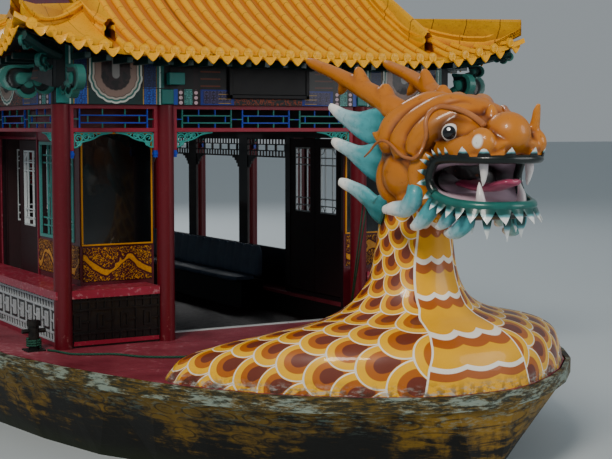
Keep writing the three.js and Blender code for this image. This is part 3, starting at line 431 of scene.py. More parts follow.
# %% Finish: a material in the making
class Finish:
    """A material in the making."""

    def __init__(self, name, **shader):
        self.material = bpy.data.materials.new(name)
        self.material.use_nodes = True
        self.tree = self.material.node_tree
        self.shader = self.tree.nodes["Principled BSDF"]
        self.shader.inputs["Specular IOR Level"].default_value = 0.3
        for socket, value in shader.items():
            self.shader.inputs[socket.replace("_", " ")].default_value = value

    def node(self, kind, settings=None, inputs=None, output=0):
        node = self.tree.nodes.new(kind)
        for key, value in (settings or {}).items():
            setattr(node, key, value)
        for key, value in (inputs or {}).items():
            self.feed(node.inputs[key], value)
        return Wire(self, node.outputs[output])

    def feed(self, socket, value):
        """Links a wire, or sets a number, a vector or a colour given by its code."""
        if isinstance(value, Wire):
            self.tree.links.new(value.socket, socket)
        else:
            socket.default_value = rgb(value) if isinstance(value, str) else value

    def axes(self, vector):
        node = self.node("ShaderNodeSeparateXYZ", None, {0: vector}).socket.node
        return [Wire(self, node.outputs[i]) for i in range(3)]

    def spot(self):
        return self.node("ShaderNodeTexCoord", output="Object")

    def xyz(self):
        """Object coordinates, which are metres from the model's origin."""
        return self.axes(self.spot())

    def uv(self):
        """The two coordinates of the piece's own UV map."""
        return self.axes(self.node("ShaderNodeUVMap", {"uv_map": "UVMap"}))[:2]

    def stored(self, name):
        return self.node("ShaderNodeAttribute", {"attribute_name": name}, output="Fac")

    def noise(self, scale, detail=3.0, rough=0.55, vector=None):
        return self.node("ShaderNodeTexNoise", None, {
            "Vector": self.spot() if vector is None else vector,
            "Scale": scale, "Detail": detail, "Roughness": rough})

    def stretched(self, size):
        """Object coordinates with each axis multiplied, for streaks and grain."""
        return self.node("ShaderNodeVectorMath", {"operation": "MULTIPLY"},
                         {0: self.spot(), 1: size})

    def mix(self, mask, first, second):
        return self.node("ShaderNodeMix", {"data_type": "RGBA"}, {0: mask, 6: first, 7: second},
                         output=2)

    def shade(self, colour, amount):
        """Darkens a colour by an amount from 0 to 1."""
        return self.mix(amount, colour, (0.0, 0.0, 0.0, 1.0))

    def coats(self, tone, *coats):
        """Lays coats over a colour, one after another. Each is a mask and a colour's code."""
        for mask, code in coats:
            tone = self.mix(mask, tone, code)
        return tone

    def done(self, colour=None, rough=None, bump=None, strength=0.3, distance=0.004, **more):
        if colour is not None:
            self.feed(self.shader.inputs["Base Color"], colour)
        if rough is not None:
            self.feed(self.shader.inputs["Roughness"], rough)
        if bump is not None:
            self.feed(self.shader.inputs["Normal"], self.node("ShaderNodeBump", None, {
                "Height": bump, "Strength": strength, "Distance": distance}))
        for socket, value in more.items():
            self.feed(self.shader.inputs[socket.replace("_", " ")], value)
        return self.material


# %% [markdown]
# ## The loose rope on the foredeck
#
# A laid green rope of 22 mm runs from the starboard bollard over the deck to the dragon's chest.
# A free rope is a curve with one width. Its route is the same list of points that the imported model
# follows, and its twist of three strands is in its finish, which reads a count along the rope.

# %% The rope's route and skin
ROPE_D = 0.022
# Diameters to one turn of the lay, and strands in the rope.
LAY, STRANDS = 1.2, 3
ROPE_ROUTE = [
    (0.060, -2.400), (0.160, -2.350), (0.380, -2.280), (0.480, -2.140), (0.590, -1.930),
    (0.830, -1.780), (1.000, -1.550), (1.070, -1.330), (1.010, -1.200), (1.120, -1.110),
]


def curve_points(route, count):
    """Points on the centripetal curve that runs through a route."""
    from_rows = [Vector(p) for p in route]
    first = from_rows[0] * 2 - from_rows[1]
    last = from_rows[-1] * 2 - from_rows[-2]
    rows = [first, *from_rows, last]
    points = []
    spans = len(from_rows) - 1
    for step in range(count + 1):
        place = step / count * spans
        i = min(int(place), spans - 1)
        s = place - i
        p0, p1, p2, p3 = rows[i:i + 4]
        d0, d1, d2 = (max((b - a).length ** 0.5, 1e-6) for a, b in ((p0, p1), (p1, p2), (p2, p3)))
        t1 = ((p1 - p0) / d0 - (p2 - p0) / (d0 + d1) + (p2 - p1) / d1) * d1
        t2 = ((p2 - p1) / d1 - (p3 - p1) / (d1 + d2) + (p3 - p2) / d2) * d1
        c2, c3 = -3 * p1 + 3 * p2 - 2 * t1 - t2, 2 * p1 - 2 * p2 + t1 + t2
        points.append(p1 + t1 * s + c2 * s * s + c3 * s ** 3)
    return points


def rope_finish():
    paint = Finish("green_rope", Roughness=0.8)
    along, around = paint.uv()
    twist = ((along + around) * 2 * math.pi).sine() * 0.5 + 0.5
    tone = paint.mix(paint.noise(40.0), "143c30", "2c6b55")
    # Painted shade: the rope is darkened in the grooves between its strands.
    return paint.done(paint.shade(tone, (1 - twist) * 0.6), bump=twist, strength=0.8,
                      distance=0.004)


def rope(name, points, diameter=ROPE_D):
    """A laid rope and its length. Its UV map counts turns of the lay, for the rope finish."""
    length = sum((b - a).length for a, b in zip(points, points[1:]))
    rows = [(*p, diameter, diameter) for p in points]
    piece = limb(name, rows, across=10, along=len(points) - 1)
    layer = piece.data.uv_layers.active
    for loop in layer.data:
        loop.uv = (loop.uv[1] * length / diameter / LAY, loop.uv[0] * STRANDS)
    return piece, length


green_rope = rope_finish()
rope_line = curve_points([(x, y, ROPE_D / 2 + 0.0003) for x, y in ROPE_ROUTE], 36)
deck_rope, rope_length = rope("deck_rope_laid", rope_line)
settle(deck_rope, green_rope, replaces=["deck_rope"])
print("rope is", round(rope_length, 2), "m long")

# %% [markdown]
# ## Floor and light
#
# The floor stands for the water's surface, plain and pale, so the hull sinks through it. The light
# is a large soft sky with one broad lamp to the left, high up, as on an overcast day. Two weaker
# lamps open the shadows on the port side and towards the stern.

# %% Floor and light
deselect()
bpy.ops.mesh.primitive_plane_add(size=400)
floor = named("floor")
pale = Finish("pale_floor", Roughness=0.6)
floor.data.materials.append(pale.done("b9c2c6"))

world = bpy.data.worlds.new("sky")
world.use_nodes = True
world.node_tree.nodes["Background"].inputs[0].default_value = rgb("d6e0e6")
world.node_tree.nodes["Background"].inputs[1].default_value = 0.42
bpy.context.scene.world = world


def lamp(name, at, target, size, power, tint="ffffff"):
    light = bpy.data.lights.new(name, "AREA")
    light.shape = "DISK"
    light.size = size
    light.energy = power
    light.color = rgb(tint)[:3]
    holder = bpy.data.objects.new(name, light)
    holder.location = at
    holder.rotation_euler = (Vector(target) - Vector(at)).to_track_quat("-Z", "Y").to_euler()
    bpy.context.scene.collection.objects.link(holder)


lamp("key", (22, -15, 19), (8, 0, 2), 7, 4800, "fff6ea")
lamp("fill", (26, 14, 9), (9, 0, 2), 12, 1500)
lamp("back", (-22, 6, 16), (0, 0, 2), 14, 2600)
print("lit")

# %% [markdown]
# ## The dragon's chest and neck
#
# The chest is a moulded shell that spreads from the neck over the whole foredeck. It could be cut
# from a sculpted ball, but its rows of scales have to run round it evenly, so it is a grid whose
# columns fan out from the neck and whose rows run from the deck up to the head. A painter lays the
# scales out from the belly panel's edge, each row at the same distance under the last. The same two
# distances are measured here for every point and kept in a UV map: scale widths across, rows down.

# %% The chest's form
NECK_X, NECK_R = 2.71, 0.32
DECK_RIM = [
    (1.94, 2.13), (2.40, 1.88), (2.83, 1.59), (3.20, 1.21), (3.45, 0.86), (3.62, 0.56),
    (3.71, 0.28),
]
CHEST_AFT = [(1.90, -2.12), (0.62, 0.0), (1.90, 2.12)]
# Columns: share of the way out, height towards the bow, height towards the stern.
CHEST = [
    (1.00, 0.0003, 0.0003), (0.97, 0.150, 0.012), (0.92, 0.290, 0.040), (0.82, 0.385, 0.080),
    (0.66, 0.460, 0.140), (0.47, 0.515, 0.220), (0.32, 0.560, 0.310), (0.19, 0.650, 0.420),
    (0.10, 0.780, 0.570), (0.04, 0.960, 0.790), (0.00, 1.250, 1.250),
]
NECK_TOP = [(0.0, 1.25, 0.32), (0.0, 1.40, 0.305), (0.03, 1.56, 0.28), (0.08, 1.66, 0.26)]
FAN, RISE, NECK_ROW = 120, 72, 56


def rim_distance(angle):
    rim = [*DECK_RIM, (3.72, 0.0), *[(x, -y) for x, y in reversed(DECK_RIM)], *CHEST_AFT]
    way = Vector((math.cos(angle), math.sin(angle)))
    best = 9.0
    for (ax, ay), (bx, by) in zip(rim, [*rim[1:], rim[0]]):
        edge = Vector((bx - ax, by - ay))
        start = Vector((ax - NECK_X, ay))
        span = way.cross(edge)
        if abs(span) > 1e-9:
            reach, along = start.cross(edge) / span, start.cross(way) / span
            if reach > 0 and -1e-6 <= along <= 1 + 1e-6:
                best = min(best, reach)
    return best


angles = [(i / FAN - 0.5) * 2 * math.pi for i in range(FAN + 1)]
sharp = [rim_distance(a) for a in angles[:-1]]
reaches = [sum(sharp[(i + k) % FAN] for k in range(-2, 3)) / 5 for i in range(FAN)]
reaches = [min(r, s) for r, s in zip(reaches, sharp)]
reaches.append(reaches[0])


def chest_point(i, j):
    """A point in column i and row j: up to NECK_ROW it is on the chest, above it on the neck."""
    angle, reach = angles[i], reaches[i]
    bowward = min(max((math.cos(angle) + 0.95) / 1.1, 0), 1)
    bowward = bowward * bowward * (3 - 2 * bowward)
    if j <= NECK_ROW:
        share, fore, aft = blend_rows(CHEST, j / NECK_ROW)
        radius = NECK_R + max(share, 0) * (reach - NECK_R)
        return Vector((NECK_X + radius * math.cos(angle), radius * math.sin(angle),
                       aft + (fore - aft) * bowward))
    lean, z, radius = blend_rows(NECK_TOP, (j - NECK_ROW) / (RISE - NECK_ROW))
    return Vector((NECK_X + lean + radius * math.cos(angle), radius * math.sin(angle), z))


form = np.array([[chest_point(i, j) for j in range(RISE + 1)] for i in range(FAN + 1)])
chest = surface("dragon_chest", FAN, RISE, lambda u, v: form[round(u * FAN), round(v * RISE)])
print("the chest spreads", round(max(reaches), 2), "m from the neck")

# %% The layout of the scales
# The shell is unrolled to a flat map from one ring of points: above it the neck, as rings that
# shrink, and below it the chest, by its slopes. The field is then drawn on the map: rows run round
# the neck, and further out they bend to lie across the way to the tail.
BASE_RING = 39
ROUND_NECK, ALONG_FLANK, ROW_HEIGHT = 1.5915, 2.3, 0.62
TAILWARD = np.exp(-1j * math.radians(143.0))


def unrolled(column, normals):
    """Flat places of one column's points, as complex numbers with the bow along the real axis."""
    flat = np.zeros(RISE + 1, complex)
    start = complex(column[BASE_RING][0] - NECK_X, column[BASE_RING][1])
    flat[BASE_RING] = start
    turned = 0.0
    for j in range(BASE_RING + 1, RISE + 1):
        step = np.linalg.norm(column[j] - column[j - 1])
        lean = 0.05 if column[j][2] > 1.4 else 0.0
        turned += step / max(math.hypot(column[j][0] - NECK_X - lean, column[j][1]), 0.25)
        flat[j] = start * math.exp(-turned)
    for j in range(BASE_RING - 1, -1, -1):
        step, normal = column[j] - column[j + 1], normals[j]
        level = complex(normal[0], normal[1])
        level /= max(abs(level), 1e-6)
        downhill = np.array([level.real * normal[2], level.imag * normal[2],
                             -math.hypot(*normal[:2])])
        sideways = level * 1j
        aside = step[0] * sideways.real + step[1] * sideways.imag
        flat[j] = flat[j + 1] + level * step.dot(downhill) + sideways * aside
    return flat


normal_grid = np.cross(np.gradient(form, axis=0), np.gradient(form, axis=1))
normal_grid /= np.maximum(np.linalg.norm(normal_grid, axis=2, keepdims=True), 1e-9)
normal_grid *= np.sign(normal_grid[:, :, 2:3] + 1e-9)
layout = np.zeros((FAN + 1, RISE + 1, 2))
for i in range(FAN + 1):
    port = form[i, 10, 1] > 0
    mirror = np.array([1, -1 if port else 1, 1])
    flat = unrolled(form[i] * mirror, normal_grid[i] * mirror)
    field = ROUND_NECK * np.log(flat + 0j) + ALONG_FLANK * np.conj(TAILWARD) * flat
    layout[i, :, 0] = field.imag * (-1 if port else 1)
    layout[i, :, 1] = field.real / ROW_HEIGHT

layer = chest.data.uv_layers.active
for loop, spot in zip(chest.data.loops, layer.data):
    i, j = round(spot.uv[0] * FAN), round(spot.uv[1] * RISE)
    spot.uv = layout[i, j]

# Columns: height, half the belly panel's width there. Then: height, bands of the belly down to it.
BELLY = [
    (1.7, 0.15), (1.26, 0.16), (0.97, 0.20), (0.62, 0.24), (0.40, 0.395), (0.21, 0.48),
    (-0.04, 0.54),
]
BANDS = [
    (1.70, -1.3), (1.357, 0.0), (1.055, 1.0), (0.753, 2.0), (0.482, 3.0), (0.237, 4.0),
    (-0.02, 5.0),
]
points = points_of(chest)
half = np.interp(-points[:, 2], [-z for z, _ in BELLY], [b for _, b in BELLY])
inside = np.where(points[:, 0] > NECK_X, half - np.abs(points[:, 1]), -1.0)
paint_on(chest, "belly", inside)
paint_on(chest, "belly_side", np.clip(points[:, 1] / half, -2, 2))
paint_on(chest, "band", np.interp(-points[:, 2], [-z for z, _ in BANDS], [b for _, b in BANDS]))
clean(chest)
smooth(chest)
print("rows of scales:", round(layout[:, :, 1].max(), 1))

# %% [markdown]
# ## Painted scales
#
# Each scale is painted as nested arcs that open upwards: a maroon heart, an ochre ring, a yellow
# ring and a white edge. A scale of one row covers the top of those in the next, which are set half
# a width over. So a point belongs to its own row's scale where it lies in that scale's arc, and to
# the next row's anywhere else. The arcs also stand a little proud of each other, as thick paint.

# %% The scales' finish
def arcs(paint):
    """Distance from a scale's heart to its edge, from 0 to 1, for the scale that covers a point."""
    u, v = paint.uv()
    v = v + 40.0
    lean = (v.floor() * 0.5).part()
    drop = v.part()
    own = ((u + lean).part() - 0.5) * 2
    own = (own * own + drop * drop).root()
    other = ((u + 0.5 - lean).part() - 0.5) * 2
    rise = (1 - drop) * 0.55
    other = (other * other + rise * rise).root().lower(0.9)
    covered = 1 - own.past(1.0, 0.03)
    return covered * own + (1 - covered) * other


def scale_colours(paint, ring):
    heart = paint.mix(ring.past(0.34, 0.03), "66291e", "ac5c0e")
    yellow = paint.mix(ring.past(0.63, 0.03), heart, "f0b400")
    return paint.mix(ring.past(0.93, 0.02), yellow, "f2efe2")


def chest_finish():
    paint = Finish("painted_scales", Roughness=0.34, Coat_Weight=0.25)
    ring = arcs(paint)
    belly = paint.stored("belly")
    side = paint.stored("belly_side")
    scallop = (side * (1.5 * math.pi)).math("COSINE", side * (1.5 * math.pi)).size()
    band = (paint.stored("band") + 10.0 - scallop * 0.11).part()
    gold = paint.mix(paint.noise(2.2), "d89800", "f0b400")
    bands = paint.mix(band.within(0.14, 0.40, 0.02), gold, "a4561a")
    bands = paint.mix(1 - band.past(0.15, 0.02), bands, "f2efe2")
    colour = paint.mix(belly.past(0.0, 0.006), scale_colours(paint, ring), bands)
    line = belly.within(-0.008, 0.008, 0.004)
    colour = paint.mix(line, colour, "f2efe2")
    fade = paint.noise(5.0, 4.0)
    colour = paint.mix(fade * 0.14, colour, "9a5a10")
    height = paint.xyz()[2]
    scuffs = paint.noise(9.0, 6.0, 0.7, paint.stretched((1, 1, 3.5)))
    worn = (1 - height.past(0.90, 0.10)) * scuffs.past(0.54, 0.10)
    colour = paint.mix(worn, colour, "a9aca6")
    grime = (1 - height.past(0.90, 0.16)) * paint.noise(16.0, 5.0).past(0.52, 0.12)
    colour = paint.mix(grime * 0.85, colour, "2a2413")
    rough = 0.28 + 0.3 * fade + 0.2 * worn
    relief = (1 - ring.past(0.965, 0.05)) * (1 - belly.past(-0.01, 0.02))
    return paint.done(colour, rough, relief + 0.15 * scuffs, 0.5, 0.006)


settle(chest, chest_finish(), replaces=["dragon_body"])

# %% [markdown]
# ## The dragon's head
#
# The head is carved foam under painted glass fibre, all swelling lobes with soft creases. It could
# be sculpted by hand, but a script can press simple forms together as a sculptor presses clay:
# limbs and balls are joined, remeshed as one skin of small squares, and smoothed. The same list
# serves both sides. The creases and swells are then measured, for painted shade in the creases and
# painted highlights on the swells.

# %% The head's clay
SKULL = [
    (2.46, 0, 1.78, 0.30, 0.36), (2.60, 0, 1.80, 0.64, 0.74), (2.85, 0, 1.85, 0.82, 0.96),
    (3.15, 0, 1.92, 0.84, 0.88), (3.42, 0, 2.08, 0.74, 0.48), (3.65, 0, 2.09, 0.66, 0.32),
    (3.85, 0, 2.05, 0.60, 0.23), (4.02, 0, 2.00, 0.52, 0.17), (4.09, 0, 1.97, 0.40, 0.12),
]
JAW = [
    (2.96, 0, 1.62, 0.50, 0.40), (3.20, 0, 1.53, 0.66, 0.32), (3.45, 0, 1.46, 0.72, 0.17),
    (3.75, 0, 1.445, 0.66, 0.11), (3.95, 0, 1.455, 0.52, 0.09), (4.03, 0, 1.46, 0.34, 0.07),
]
# Sausages of clay on the starboard side. Columns: x, y, z, radius.
LOBES = [
    [(3.66, -.03, 2.22, .05), (3.61, -.11, 2.245, .08), (3.53, -.20, 2.22, .10),
     (3.42, -.33, 2.12, .12), (3.32, -.38, 2.00, .12), (3.29, -.40, 1.90, .09)],
    [(3.60, -.04, 2.31, .06), (3.42, -.16, 2.30, .11), (3.26, -.26, 2.22, .12),
     (3.14, -.33, 2.11, .13), (3.10, -.38, 2.00, .13), (3.12, -.39, 1.88, .09)],
    [(3.32, -.02, 2.33, .07), (3.12, -.14, 2.31, .12), (2.99, -.24, 2.23, .13),
     (2.91, -.33, 2.14, .13), (2.90, -.37, 2.03, .13), (2.91, -.37, 1.92, .09)],
    [(3.36, -.32, 2.06, .05), (3.42, -.28, 2.15, .06), (3.50, -.23, 2.20, .055),
     (3.60, -.20, 2.215, .05), (3.72, -.17, 2.185, .05), (3.80, -.14, 2.13, .05)],
    [(3.50, -.32, 1.96, .06), (3.66, -.33, 1.95, .08), (3.84, -.31, 1.97, .10),
     (3.96, -.25, 2.00, .10)],
    [(3.44, -.38, 1.92, .05), (3.36, -.41, 1.83, .08), (3.33, -.41, 1.70, .08),
     (3.36, -.37, 1.58, .08), (3.44, -.30, 1.50, .06)],
    [(3.00, -.40, 1.97, .05), (2.88, -.45, 2.02, .05), (2.78, -.49, 2.09, .015)],
    [(3.60, -.38, 1.90, .03), (3.80, -.36, 1.90, .045), (3.98, -.28, 1.90, .05),
     (4.08, -.12, 1.91, .05)],
]
# Balls of clay. Columns: x, y, z, radii in x, y and z.
SWELLS = [
    (3.96, 0, 2.08, .19, .18, .175), (3.95, -.25, 2.01, .14, .10, .12),
    (3.02, -.34, 1.74, .22, .15, .20), (3.08, -.28, 1.56, .16, .14, .12),
    (3.40, 0, 2.24, .32, .26, .16), (2.80, -.30, 1.70, .14, .14, .22),
]
# A fin behind the nose, and the port side's upright curl. Columns: x, y, z, radius.
SINGLE = [
    [(3.76, 0, 2.20, .06), (3.76, 0, 2.26, .045), (3.745, 0, 2.315, .015)],
    [(3.98, .23, 2.08, .055), (4.01, .235, 2.18, .038), (4.025, .235, 2.26, .032),
     (4.05, .235, 2.32, .016)],
]


def head_clay():
    forms = [limb("skull", SKULL, 24, 30), limb("jaw", JAW, 20, 20)]
    forms += [rod("curl", rows, sides=12) for rows in SINGLE]
    pressed = [rod("lobe", rows, sides=14) for rows in LOBES]
    for x, y, z, rx, ry, rz in SWELLS:
        (pressed if y else forms).append(ball("swell", (x, y, z), (rx, ry, rz)))
    return knead("dragon_head_carved", [*forms, *both_sides(pressed)], 0.014, 5)


head = head_clay()
# Creases and swells are measured for the finish's painted shade and painted highlights.
head_points = hollows(head)
x, y, z = head_points.T
# Masks for painted shade: round the eye sockets, inside the mouth and under the chin.
socket = np.hypot(np.hypot(x - 3.62, z - 2.09), (np.abs(y) - 0.34) * 0.6)
paint_on(head, "socket", ramp(socket, 0.1875, -0.15))
nostril = np.hypot((x - 4.0) * 0.95, np.hypot((np.abs(y) - 0.30) * 0.8, (z - 2.02) * 0.85))
paint_on(head, "nostril", nostril)
in_mouth = (x > 3.2) & (z > 1.50) & (z < 1.90) & (np.abs(y) < 0.36)
paint_on(head, "mouth", in_mouth.astype(float))
paint_on(head, "chin", ramp(x, 3.50, 0.06) * ramp(z, 1.575, -0.02))
print("the head is", round(float(x.max() - x.min()), 2), "m long")

# %% The head's finish
def head_finish():
    paint = Finish("painted_orange", Roughness=0.36, Coat_Weight=0.3)
    hollow = paint.stored("hollow")
    tone = paint.mix(paint.noise(3.0, 4.0), "a85c12", "bc701a")
    # Painted light: lighter orange on the swells as a painted highlight; brown in the creases, near
    # black round the eyes and inside the mouth, and teal-black under the chin as painted shade.
    tone = paint.coats(
        tone,
        ((0 - hollow).past(0.012, 0.03) * 0.8, "cc8628"),
        (hollow.past(0.006, 0.018), "4d1c05"),
        (paint.stored("socket") * 0.92, "1c0a04"),
        (paint.stored("chin"), "10231f"),
        (paint.stored("mouth"), "0c0606"),
        (1 - paint.stored("nostril").past(0.05, 0.012), "e6e4dc"))
    grain = paint.noise(22.0, 5.0)
    tone = paint.mix(grain.past(0.66, 0.08) * 0.5, tone, "8c4a12")
    return paint.done(tone, 0.30 + 0.2 * grain, grain, 0.12, 0.004)


orange = head_finish()
settle(head, orange, replaces=["dragon_head"])

# %% [markdown]
# ## Horns, mane and beard
#
# The horns are stag's horns: a rod that tapers a little, with blunt snags. Mane and beard are
# leaf-shaped flames of the same foam, each painted from teal at the root to white at its rounded
# tip. Every one is a limb along a few points, and the starboard ones are mirrored to port.

# %% Horns
HORN = [
    (3.02, -.20, 2.18, .115), (2.84, -.29, 2.27, .110), (2.64, -.32, 2.37, .095),
    (2.45, -.35, 2.45, .085), (2.20, -.38, 2.545, .070), (1.95, -.40, 2.63, .058),
    (1.70, -.415, 2.70, .052), (1.60, -.42, 2.735, .036),
]
SNAGS = [
    [(2.72, -.31, 2.36, .09), (2.69, -.30, 2.45, .065), (2.69, -.30, 2.50, .03)],
    [(2.44, -.35, 2.46, .08), (2.38, -.35, 2.55, .062), (2.345, -.35, 2.62, .045),
     (2.335, -.35, 2.655, .02)],
    [(2.18, -.38, 2.53, .06), (2.10, -.37, 2.46, .04), (2.05, -.365, 2.42, .015)],
]
RING_KNOBS = [(2.93, -.24, 2.23, .128), (2.80, -.30, 2.29, .118)]


def horn_clay(side, word):
    parts = [rod("horn", [(x, y * side, z, r) for x, y, z, r in rows], sides=16)
             for rows in (HORN, *SNAGS)]
    for x, y, z, r in RING_KNOBS:
        parts.append(ball("knob", (x, y * side, z), (r * 0.72, r, r), (0, -24, 0)))
    horn = knead(f"horn_{word}_carved", parts, 0.014, 4)
    # Its creases and swells are measured for the head finish's painted shade and painted highlights.
    hollows(horn, 10)
    # The head's finish paints the inside of a nostril where this is 0.
    paint_on(horn, "nostril", np.ones(len(horn.data.vertices)))
    return horn


for side, word in SIDES:
    settle(horn_clay(side, word), orange, replaces=["horn_" + word])

# %% Flames of the mane and the beard
# Columns: x, y, z, width across, thickness.
MANE = [
    [(2.78, -.33, 2.10, .34, .10), (2.67, -.38, 2.13, .33, .10), (2.53, -.45, 2.15, .24, .09),
     (2.37, -.50, 2.215, .15, .075), (2.27, -.53, 2.27, .115, .065), (2.20, -.55, 2.31, .07, .045)],
    [(2.76, -.33, 1.80, .36, .10), (2.64, -.38, 1.84, .34, .10), (2.53, -.45, 1.88, .22, .09),
     (2.42, -.50, 1.94, .14, .075), (2.31, -.54, 1.985, .11, .065), (2.25, -.55, 2.01, .07, .045)],
    [(2.74, -.33, 1.42, .30, .10), (2.66, -.38, 1.47, .28, .10), (2.60, -.44, 1.545, .19, .09),
     (2.49, -.49, 1.61, .13, .075), (2.41, -.53, 1.645, .105, .065), (2.36, -.55, 1.66, .07, .045)],
]
BEARD = [
    [(3.30, -.36, 1.70, .09, .12), (3.33, -.42, 1.64, .14, .14), (3.34, -.45, 1.56, .16, .15),
     (3.24, -.46, 1.475, .15, .13), (3.10, -.48, 1.465, .12, .10), (2.97, -.49, 1.45, .07, .055)],
    [(3.50, -.34, 1.56, .10, .12), (3.47, -.38, 1.47, .13, .13), (3.41, -.40, 1.40, .13, .12),
     (3.34, -.42, 1.345, .10, .09), (3.28, -.43, 1.325, .05, .04)],
    [(3.67, -.29, 1.50, .08, .10), (3.65, -.31, 1.44, .11, .11), (3.61, -.33, 1.39, .11, .10),
     (3.55, -.345, 1.345, .07, .06), (3.51, -.35, 1.335, .03, .03)],
    [(3.80, -.24, 1.46, .09, .11), (3.79, -.26, 1.39, .13, .12), (3.71, -.28, 1.32, .13, .11),
     (3.62, -.29, 1.29, .09, .08), (3.55, -.295, 1.29, .04, .03)],
]


# %% A flame and its paint
def flame(name, rows, side, across=28, along=30):
    """A leaf along its rows: its width lies across its path, its thickness towards the side."""
    def place(u, v):
        x, y, z, width, thick = blend_rows(rows, v)
        ahead = Vector((blend_rows(rows, v + 0.02) - blend_rows(rows, v - 0.02))[:3]).normalized()
        out = Vector((0.25, 1.0, 0.0)).normalized()
        across_way = ahead.cross(out).normalized()
        out = across_way.cross(ahead).normalized()
        angle = 2 * math.pi * u
        ripple = 1 + 0.09 * math.cos(8 * angle) * (1 - v)
        point = Vector((x, y, z)) + across_way * (math.cos(angle) * width / 2)
        point += out * (math.sin(angle) * thick / 2 * ripple)
        return Vector((point.x, point.y * side, point.z))
    return smooth(clean(surface(name, across, along, place), closed=True))


def flames(name, table, side):
    return joined(name, [flame(f"{name}_leaf", rows, side) for rows in table])


def flame_finish():
    paint = Finish("painted_flames", Roughness=0.4, Coat_Weight=0.2)
    u, v = paint.uv()
    streak = (u * 8.0).part() - 0.5
    streak = (1 - streak.size() * 2) * (1 - v)
    cloud = paint.noise(12.0, 5.0)
    along = v + streak * 0.10 + (cloud - 0.5) * 0.22
    tone = paint.mix(along.within(0.22, 0.66, 0.22), "1d6f74", "4d9fa8")
    tone = paint.coats(
        tone,
        (along.past(0.52, 0.24), "a9cdd6"),
        (along.past(0.74, 0.14), "f0f1ec"),
        (paint.noise(26.0, 6.0).past(0.60, 0.08) * 0.35, "3c7f86"))
    return paint.done(tone, 0.34 + 0.2 * cloud, streak + cloud * 0.4, 0.3, 0.004)


teal_flames = flame_finish()
for side, word in SIDES:
    settle(flames("mane_flames_" + word, MANE, side), teal_flames,
           replaces=["mane_" + word])
beard = joined("beard_flames", [flames("beard_" + word, BEARD, side) for side, word in SIDES])
settle(beard, teal_flames, replaces=["beard"])

# %% [markdown]
# ## Mouth, teeth, eyes and whiskers
#
# The open jaws are rimmed by a rounded lip, black above and teal below, from which small flames
# stand off. Behind the lip a lilac lining closes the mouth to the throat. All of it follows one
# loop of points round the mouth, given for the starboard half and mirrored, so that lip, lining and
# flames stay together when the loop is moved.

# %% The mouth's loop
LIP = [
    (4.12, 0, 1.885), (4.10, -.15, 1.885), (4.02, -.27, 1.885), (3.90, -.35, 1.885),
    (3.75, -.405, 1.885), (3.62, -.435, 1.865), (3.56, -.445, 1.79), (3.54, -.445, 1.71),
    (3.58, -.435, 1.63), (3.66, -.41, 1.585), (3.78, -.365, 1.555), (3.92, -.29, 1.54),
    (4.02, -.17, 1.535), (4.06, 0, 1.535),
]
THROAT = [
    (3.50, 0, 1.82), (3.48, -.08, 1.82), (3.46, -.15, 1.82), (3.45, -.21, 1.81), (3.44, -.25, 1.79),
    (3.43, -.28, 1.76), (3.42, -.29, 1.74), (3.42, -.29, 1.71), (3.42, -.29, 1.68),
    (3.42, -.27, 1.65), (3.43, -.23, 1.62), (3.44, -.17, 1.605), (3.45, -.09, 1.60),
    (3.45, 0, 1.60),
]
# The corner of the mouth, in points of the loop from the nose. Past it the lower lip hangs.
LIP_CORNER, LIP_DROP = 8.2, 0.018


def whole_loop(half):
    return [*half, *[(x, -y, z) for x, y, z in half[-2:0:-1]]]


def on_loop(table, t):
    """A point on a closed smooth loop, t from 0 to 1."""
    place = (t % 1.0) * len(table)
    i, s = int(place), place - int(place)
    return curve_at(*[Vector(table[(i + k) % len(table)]) for k in (-1, 0, 1, 2)], s)


lip_loop, throat_loop = whole_loop(LIP), whole_loop(THROAT)


def in_mouth_point(u, v):
    lip, throat = on_loop(lip_loop, u), on_loop(throat_loop, u)
    point = lip.lerp(throat, v)
    swell = math.sin(math.pi * min(v * 1.4, 1.0)) * 0.035
    middle = Vector((point.x, 0, 1.71))
    return point + (point - middle).normalized() * swell


lining = clean(surface("mouth_lining", 104, 16, in_mouth_point))
back = ball("throat", (3.44, 0, 1.71), (0.03, 0.30, 0.13), rings=12)
lining = smooth(joined("mouth_lining", [lining, back]))
x, _, z = points_of(lining).T
# Where the mouth's painted shade goes: at the back and top, towards the throat.
paint_on(lining, "throat_shade", ramp(x, 3.55, -0.09) * ramp(z, 1.60, 0.08))


def lining_finish():
    paint = Finish("mouth_lining", Roughness=0.35, Coat_Weight=0.2)
    tone = paint.mix(paint.noise(8.0, 4.0), "c9aabb", "dccbd6")
    # Painted shade: the lining turns near black deep in the mouth.
    tone = paint.mix(paint.stored("throat_shade"), tone, "12060a")
    return paint.done(tone, 0.35, paint.noise(20.0), 0.15, 0.004)


settle(lining, lining_finish())


# %% Lips
def lip_band(name, start, stop, radius, count):
    path = [on_loop(lip_loop, between(start, stop, i / count)) for i in range(count + 1)]
    return tube(name, path, [radius] * (count + 1), sides=12, steps=2)


def lips():
    corner = LIP_CORNER / len(lip_loop)
    upper = lip_band("upper_lip", -corner, corner, 0.036, 60)
    lower = lip_band("lower_lip", corner, 1 - corner, 0.040, 44)
    lower.data.transform(Matrix.Translation((0, 0, -LIP_DROP)))
    piece = joined("lips", [upper, lower])
    x, _, z = points_of(piece).T
    paint_on(piece, "low", ramp(z, 1.66, -0.05) * ramp(x, 3.56, 0.06))
    return smooth(piece)


def lip_finish():
    paint = Finish("lip_paint", Roughness=0.35, Coat_Weight=0.3)
    teal = paint.mix(paint.noise(14.0, 4.0), "0e4a46", "1c6f66")
    tone = paint.mix(paint.stored("low"), "0b1513", teal)
    return paint.done(tone, 0.35, paint.noise(24.0), 0.15, 0.003)


settle(lips(), lip_finish())

